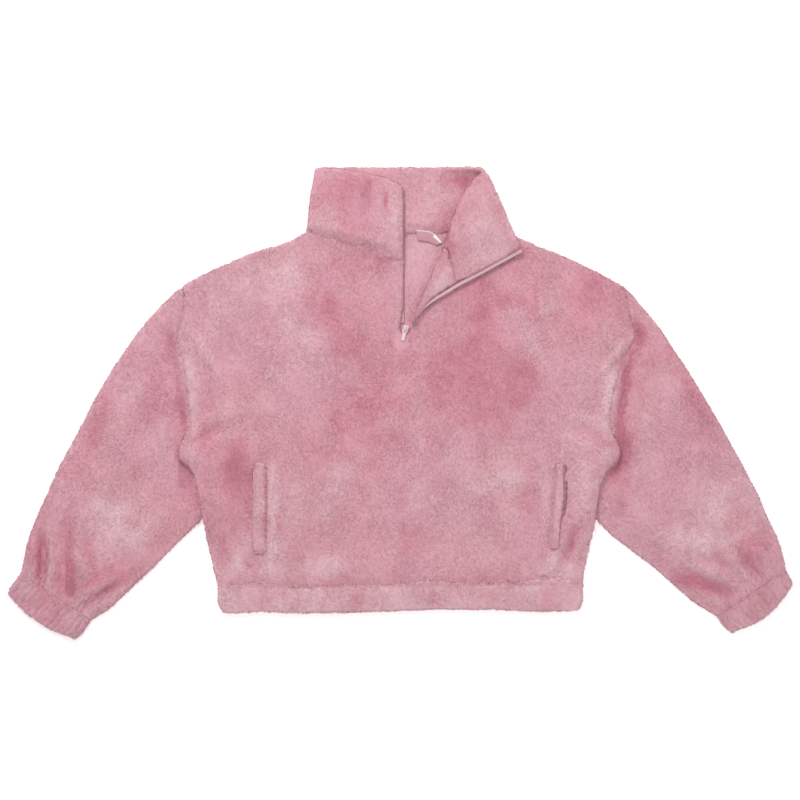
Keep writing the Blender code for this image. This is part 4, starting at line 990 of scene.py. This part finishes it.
# seams that the pile closes over, in millimetres, and how wide the picked-out strip is
seamPaths = {
    "collarSeamPile": ("collar", [(-131, 243), (-98, 233), (-64, 220), (-38, 209), (-11, 202), (3, 202)],
                       5.2),
    "backNeckPile": ("collar", [(6, 240), (30, 241), (62, 240)], 3.0),
    "leftArmholePile": ("front_panel", [(-306, 128), (-313, 96), (-308, 60), (-298, 0), (-295, -48)],
                        2.4),
    "rightArmholePile": ("front_panel", [(309, 130), (321, 98), (314, 60), (300, 0), (297, -48)], 2.4),
    "leftCuffSeamPile": ("sleeve_left", [(-532, -240), (-511, -254), (-490, -271), (-462, -289),
                                         (-435, -307)], 5.0),
    "rightCuffSeamPile": ("sleeve_right", [(540, -236), (498, -262), (470, -280), (445, -297)], 5.0),
    "hemSeamPile": ("front_panel", [(-254, -257), (-120, -256), (0, -255), (120, -254), (256, -252)], 2.0),
    "leftWeltSeamPile": ("front_panel", [(-188, -86), (-188, -146), (-188, -208), (-206, -211)], 2.6),
    "rightWeltSeamPile": ("front_panel", [(220, -92), (217, -134), (212, -200)], 2.6),
}


def closeSeam(node, name, path, width, seed):
    rng = np.random.default_rng(seed)
    path = np.array(path, float) / 1000
    along = lengthsAlong(path)
    count = int(along[-1] * width * 1000 * 1.5)
    place = rng.uniform(0, along[-1], count)
    x = np.interp(place, along, path[:, 0]) + rng.normal(0, width / 2000, count)
    y = np.interp(place, along, path[:, 1]) + rng.normal(0, width / 2000, count)
    root, up = [], []
    for px, py in zip(x, y):
        best = None
        for dx, dy in ((0, 0), (0.0022, 0), (-0.0022, 0), (0, 0.0022), (0, -0.0022)):
            hit, facing = cover.ray_cast(Vector((px + dx, py + dy, 0.2)), Vector((0, 0, -1)))[:2]
            if hit and (best is None or hit.z > best[0].z) and facing.z > 0.5:
                best = (hit, facing)
        if best:
            root.append((px, py, best[0].z - 0.0004))
            up.append(best[1])
    return plantTufts(node, name, np.array(root), np.array(up), rng, 0.9)


pile = {}
for seed, (name, (node, path, width)) in enumerate(seamPaths.items(), 61):
    pile.setdefault(node, []).append(closeSeam(node, name, path, width, seed))
for node, name, seed, xRange, density, length in pilePieces:
    grown = growPile(node, name, seed, xRange, density, length)
    if grown:
        pile.setdefault(node, []).append(grown)


# ---- the zip: bands, coil, slider and pull

def stripMesh(name, rows, wall, material):
    bm = bmesh.new()
    layer = bm.loops.layers.uv.new("along")
    lines = [[bm.verts.new(point) for point in row] for row in rows]
    lengths = [0.0]
    for low, high in zip(rows, rows[1:]):
        lengths.append(lengths[-1] + (Vector(high[0]) - Vector(low[0])).length)
    for i in range(len(lines) - 1):
        for j in range(len(lines[0]) - 1):
            face = bm.faces.new((lines[i][j], lines[i][j + 1], lines[i + 1][j + 1], lines[i + 1][j]))
            places = ((i, j), (i, j + 1), (i + 1, j + 1), (i + 1, j))
            for loop, (row, column) in zip(face.loops, places):
                loop[layer].uv = (lengths[row], column / (len(lines[0]) - 1))
    bmesh.ops.recalc_face_normals(bm, faces=bm.faces)
    if sum(face.normal.z for face in bm.faces) < 0:
        bmesh.ops.reverse_faces(bm, faces=bm.faces)
    mesh = bpy.data.meshes.new(name)
    bm.to_mesh(mesh)
    bm.free()
    thing = newThing(name, mesh)
    solidify = thing.modifiers.new("wall", "SOLIDIFY")
    solidify.thickness = wall
    solidify.offset = 0.0
    applyAll(thing)
    thing.data.shade_smooth()
    thing.data.materials.append(material)
    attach(thing, "garment")
    return thing


# plan of the right band's two long edges, in millimetres: cloth side x, y, then outer side x, y
rightBandPlan = [
    (19.0, 110.2, 15.4, 105.4),
    (22.6, 117.0, 18.6, 112.2),
    (26.0, 122.6, 22.6, 118.0),
    (30.0, 128.2, 27.2, 123.2),
    (35.6, 135.2, 34.2, 129.6),
    (44.6, 143.6, 45.4, 137.4),
    (55.0, 151.0, 57.0, 144.9),
    (67.2, 158.6, 69.6, 152.4),
    (79.2, 166.6, 82.0, 160.6),
    (92.6, 174.4, 95.4, 168.0),
    (107.8, 182.8, 110.6, 176.4),
    (124.0, 191.8, 126.8, 185.4),
    (138.4, 199.8, 141.2, 193.4),
    (152.6, 207.6, 155.6, 201.2),
    (160.6, 212.0, 163.6, 205.6),
    (168.4, 216.0, 171.2, 209.8),
]


# share of the plan's width that shows, how far the band is moved out from the collar's pile, in metres,
# and the left band's places across with how deep it is sunk
bandLook = {
    "share": 0.64,
    "moved": 0.0024,
    "leftPlaces": (-0.0028, 0.0004, 0.0030, 0.0044, 0.0056),
    "leftSunk": 0.0010,
}


def denser(table, count):
    table = np.array(table, float)
    keys = np.linspace(0, len(table) - 1, count)
    base = np.arange(len(table))
    return np.stack([np.interp(keys, base, table[:, k]) for k in range(table.shape[1])], axis=1)


def dropOn(tree, x, y, guess=0.03):
    hit = tree.ray_cast(Vector((x, y, 0.2)), Vector((0, 0, -1)))[0]
    return hit.z if hit else tree.find_nearest(Vector((x, y, guess)))[0].z


def makeRightBand():
    tree = solidTrees["zip_tape_right"]
    rows = []
    plan = denser(rightBandPlan, 90) / 1000
    for index, (inX, inY, outX, outY) in enumerate(plan):
        row = []
        away = np.array([outX - inX, outY - inY])
        away *= blend(0.0002, bandLook["moved"], easeStep((index - 20) / 50)) / np.linalg.norm(away)
        outX = blend(inX, outX, bandLook["share"]) + away[0]
        outY = blend(inY, outY, bandLook["share"]) + away[1]
        inX, inY = inX + away[0], inY + away[1]
        for j in range(7):
            t = j / 6
            x, y = blend(inX, outX, t), blend(inY, outY, t)
            row.append((x, y, dropOn(tree, x, y)))
        rows.append(row)
    heights = np.array(rows)[:, :, 2]
    for k in range(3):
        heights[1:-1] = (heights[:-2] + 2 * heights[1:-1] + heights[2:]) / 4
    rows = [[(p[0], p[1], z + 0.0001) for p, z in zip(row, line)] for row, line in zip(rows, heights)]
    thing = stripMesh("rightZipBand", rows, 0.0010, zipTapeWeave)
    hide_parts("zip_tape_right")
    return thing, rows


def makeLeftBand():
    tree = solidTrees["zip_tape_left"]
    rows = []
    for k in range(70):
        y = blend(0.1100, 0.2986, k / 69)
        rows.append([(x, y, dropOn(tree, x, y) - bandLook["leftSunk"]) for x in bandLook["leftPlaces"]])
    thing = stripMesh("leftZipBand", rows, 0.0009, zipTapeWeave)
    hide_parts("zip_tape_left")
    return thing, rows


coilLook = {
    "pitch": 0.00145,
    "size": (0.0030, 0.00080, 0.0011),
    "bevel": 0.00028,
    "bend": 0.0005,
    "slant": 0.0003,
}


def toothParts():
    # one turn of the coil, modelled once and copied: a bent bar across the band's edge
    bpy.ops.object.select_all(action="DESELECT")
    bpy.ops.mesh.primitive_cube_add(size=1.0, location=(0, 0, 0))
    tooth = bpy.context.object
    bpy.ops.object.mode_set(mode="EDIT")
    bpy.ops.mesh.select_all(action="SELECT")
    bpy.ops.transform.resize(value=coilLook["size"])
    bpy.ops.mesh.bevel(offset=coilLook["bevel"], segments=1, affect="EDGES")
    bpy.ops.object.mode_set(mode="OBJECT")
    points, faces = pointsOf(tooth.data), trianglesOf(tooth.data)
    share = 2 * points[:, 0] / coilLook["size"][0]
    points[:, 2] -= coilLook["bend"] * share ** 2
    points[:, 1] += coilLook["slant"] * share
    bpy.data.objects.remove(tooth, do_unlink=True)
    return points, faces


def joinCopies(name, allPoints, allFaces, material):
    thing = meshFromArrays(name, np.concatenate(allPoints), np.concatenate(allFaces))
    pickOnly(thing)
    bpy.ops.object.mode_set(mode="EDIT")
    bpy.ops.mesh.select_all(action="SELECT")
    bpy.ops.mesh.normals_make_consistent(inside=False)
    bpy.ops.object.mode_set(mode="OBJECT")
    thing.data.shade_smooth()
    thing.data.materials.append(material)
    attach(thing, "garment")
    return thing


def makeTeeth(name, rows, column, reach):
    points, faces = toothParts()
    pitch = coilLook["pitch"]
    line = np.array([row[column] for row in rows])
    inner = np.array([row[column - 1] for row in rows])
    along = lengthsAlong(line)
    allPoints, allFaces = [], []
    for index, distance in enumerate(np.arange(pitch, along[-1] - pitch, pitch)):
        centre = np.array([np.interp(distance, along, line[:, k]) for k in range(3)])
        before = np.array([np.interp(distance, along, inner[:, k]) for k in range(3)])
        ahead = np.array([np.interp(distance + 0.0005, along, line[:, k]) for k in range(3)]) - centre
        ahead /= np.linalg.norm(ahead)
        across = centre - before
        across -= ahead * (across @ ahead)
        across /= np.linalg.norm(across)
        up = np.cross(across, ahead)
        up *= np.sign(up[2]) or 1.0
        placed = centre + across * reach + points @ np.stack([across, ahead, up])
        allPoints.append(placed)
        allFaces.append(faces + index * len(points))
    return joinCopies(name, allPoints, allFaces, shadedCoil)


rightBand, rightRows = makeRightBand()
leftBand, leftRows = makeLeftBand()
rightTeeth = makeTeeth("rightCoil", rightRows, 6, 0.0008)
leftTeeth = makeTeeth("leftCoil", leftRows, 4, -0.0008)

for node in ("zip_slider", "zip_pull"):
    part = bpy.data.objects[node]
    for slotIndex in range(len(part.material_slots)):
        part.material_slots[slotIndex].material = paleLacquer
print("zip made")


# ---- the blank loop label and the sewing

# the label's folded top edge and its lower edge, in millimetres, from its left end to its free end
labelTop = [(23.0, 240.8), (34.0, 240.2), (43.5, 238.6), (50.0, 233.4), (55.0, 228.2), (58.8, 223.6)]
labelLow = [(25.0, 226.4), (32.0, 225.4), (39.0, 224.4), (44.0, 222.6), (48.0, 221.0), (51.0, 219.4)]
labelLook = {"height": 6.2, "curl": 1.6}


def makeLabel():
    top, low = denser(labelTop, 37) / 1000, denser(labelLow, 37) / 1000
    rows = []
    for i in range(19):
        v = (i / 18) ** 1.4
        row = []
        for j in range(37):
            curl = labelLook["curl"] * easeStep((j / 36 - 0.45) / 0.2) * math.exp(-((v - 0.12) / 0.14) ** 2)
            z = (labelLook["height"] + curl + 0.5 * math.sin(math.pi * v)) / 1000
            row.append((blend(top[j, 0], low[j, 0], v), blend(top[j, 1], low[j, 1], v), z))
        rows.append(row)
    thing = stripMesh("neckLabel", rows, 0.0006, labelSatin)
    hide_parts("neck_label")
    return thing


label = makeLabel()


stitchLook = {"pitch": 0.0030, "length": 0.0024, "radius": 0.00026, "dip": 0.0004}


def stitchParts():
    # one stitch, modelled once: a short rounded bar that dips at its ends
    bpy.ops.object.select_all(action="DESELECT")
    bpy.ops.mesh.primitive_cylinder_add(
        vertices=6, radius=stitchLook["radius"], depth=stitchLook["length"], end_fill_type="TRIFAN")
    stitch = bpy.context.object
    bpy.ops.object.mode_set(mode="EDIT")
    bpy.ops.mesh.select_all(action="SELECT")
    bpy.ops.mesh.subdivide(number_cuts=1)
    bpy.ops.object.mode_set(mode="OBJECT")
    points, faces = pointsOf(stitch.data), trianglesOf(stitch.data)
    points = points[:, [2, 0, 1]]
    points[:, 2] -= stitchLook["dip"] * (2 * points[:, 0] / stitchLook["length"]) ** 2
    bpy.data.objects.remove(stitch, do_unlink=True)
    return points, faces


def sewLine(name, path, tree, lift):
    points, faces = stitchParts()
    pitch = stitchLook["pitch"]
    path = np.array(path, float) / 1000
    along = lengthsAlong(path)
    allPoints, allFaces = [], []
    for index, distance in enumerate(np.arange(pitch / 2, along[-1], pitch)):
        x, y = (np.interp(distance, along, path[:, k]) for k in range(2))
        x2, y2 = (np.interp(distance + 0.001, along, path[:, k]) for k in range(2))
        z, z2 = dropOn(tree, x, y), dropOn(tree, x2, y2)
        ahead = np.array([x2 - x, y2 - y, z2 - z])
        if np.linalg.norm(ahead) < 1e-6:
            continue
        ahead /= np.linalg.norm(ahead)
        side = np.cross([0, 0, 1], ahead)
        side /= np.linalg.norm(side)
        up = np.cross(ahead, side)
        placed = np.array([x, y, z + lift]) + points @ np.stack([ahead, side, up])
        allPoints.append(placed)
        allFaces.append(faces + len(allFaces) * len(points))
    return joinCopies(name, allPoints, allFaces, sewingThread)


bandLine = [(blend(a, c, 0.14), blend(b, d, 0.14)) for a, b, c, d in rightBandPlan[1:]]
labelLine = [(25.0, 239.2), (34.0, 238.6), (42.5, 237.2)]
bandStitches = sewLine("bandStitches", bandLine, treeOf(rightBand), 0.0001)
labelStitches = sewLine("labelStitches", labelLine, treeOf(label), 0.0002)
print("label and stitches made")


# ---- floor, light and camera

studioLook = {
    "world": 0.50,
    "key": 54.5,
    "fill": 13.0,
    "floorGlow": 0.42,
    "frameWidth": 1.120,  # metres across the picture, at the garment's middle height
    "middleHeight": 0.009,
    "distance": 6.0,
}


def makeFloor():
    bpy.ops.object.select_all(action="DESELECT")
    bpy.ops.mesh.primitive_plane_add(size=12.0, location=(0, 0, 0))
    floor = bpy.context.object
    floor.name = "studioFloor"
    floor.location.z = -0.0005
    material, tree, shader = newMaterial("paleFloor", 0.9)
    soft = noiseNode(tree, placeOf(tree), 3.0, 2.0)
    base = mixNode(tree, soft, (0.93, 0.93, 0.93), (0.95, 0.95, 0.95))
    tree.links.new(base, shader.inputs["Base Color"])
    shader.inputs["Specular IOR Level"].default_value = 0.0
    shader.inputs["Emission Color"].default_value = (1, 1, 1, 1)
    shader.inputs["Emission Strength"].default_value = studioLook["floorGlow"]
    floor.data.materials.append(material)


def makeLight(name, place, size, power):
    light = bpy.data.lights.new(name, "AREA")
    light.shape = "DISK"
    light.size = size
    light.energy = power
    lamp = newThing(name, light)
    lamp.location = place
    lamp.rotation_euler = (-Vector(place)).to_track_quat("-Z", "Y").to_euler()


makeFloor()
makeLight("keyLight", (-0.8, 1.8, 2.2), 1.3, studioLook["key"])
makeLight("fillLight", (1.6, -0.6, 2.4), 2.2, studioLook["fill"])
world = bpy.data.worlds.new("studioWorld")
world.use_nodes = True
background = world.node_tree.nodes["Background"]
background.inputs["Color"].default_value = (1.0, 0.995, 0.99, 1.0)
background.inputs["Strength"].default_value = studioLook["world"]
scene.world = world

camera = newThing("photoCamera", bpy.data.cameras.new("photoCamera"))
camera.location = (0.0, 0.0028, studioLook["distance"])
camera.data.sensor_width = 36.0
camera.data.lens = 36.0 * (studioLook["distance"] - studioLook["middleHeight"]) / studioLook["frameWidth"]
camera.data.clip_end = 20.0
scene.camera = camera

print("scene finished")
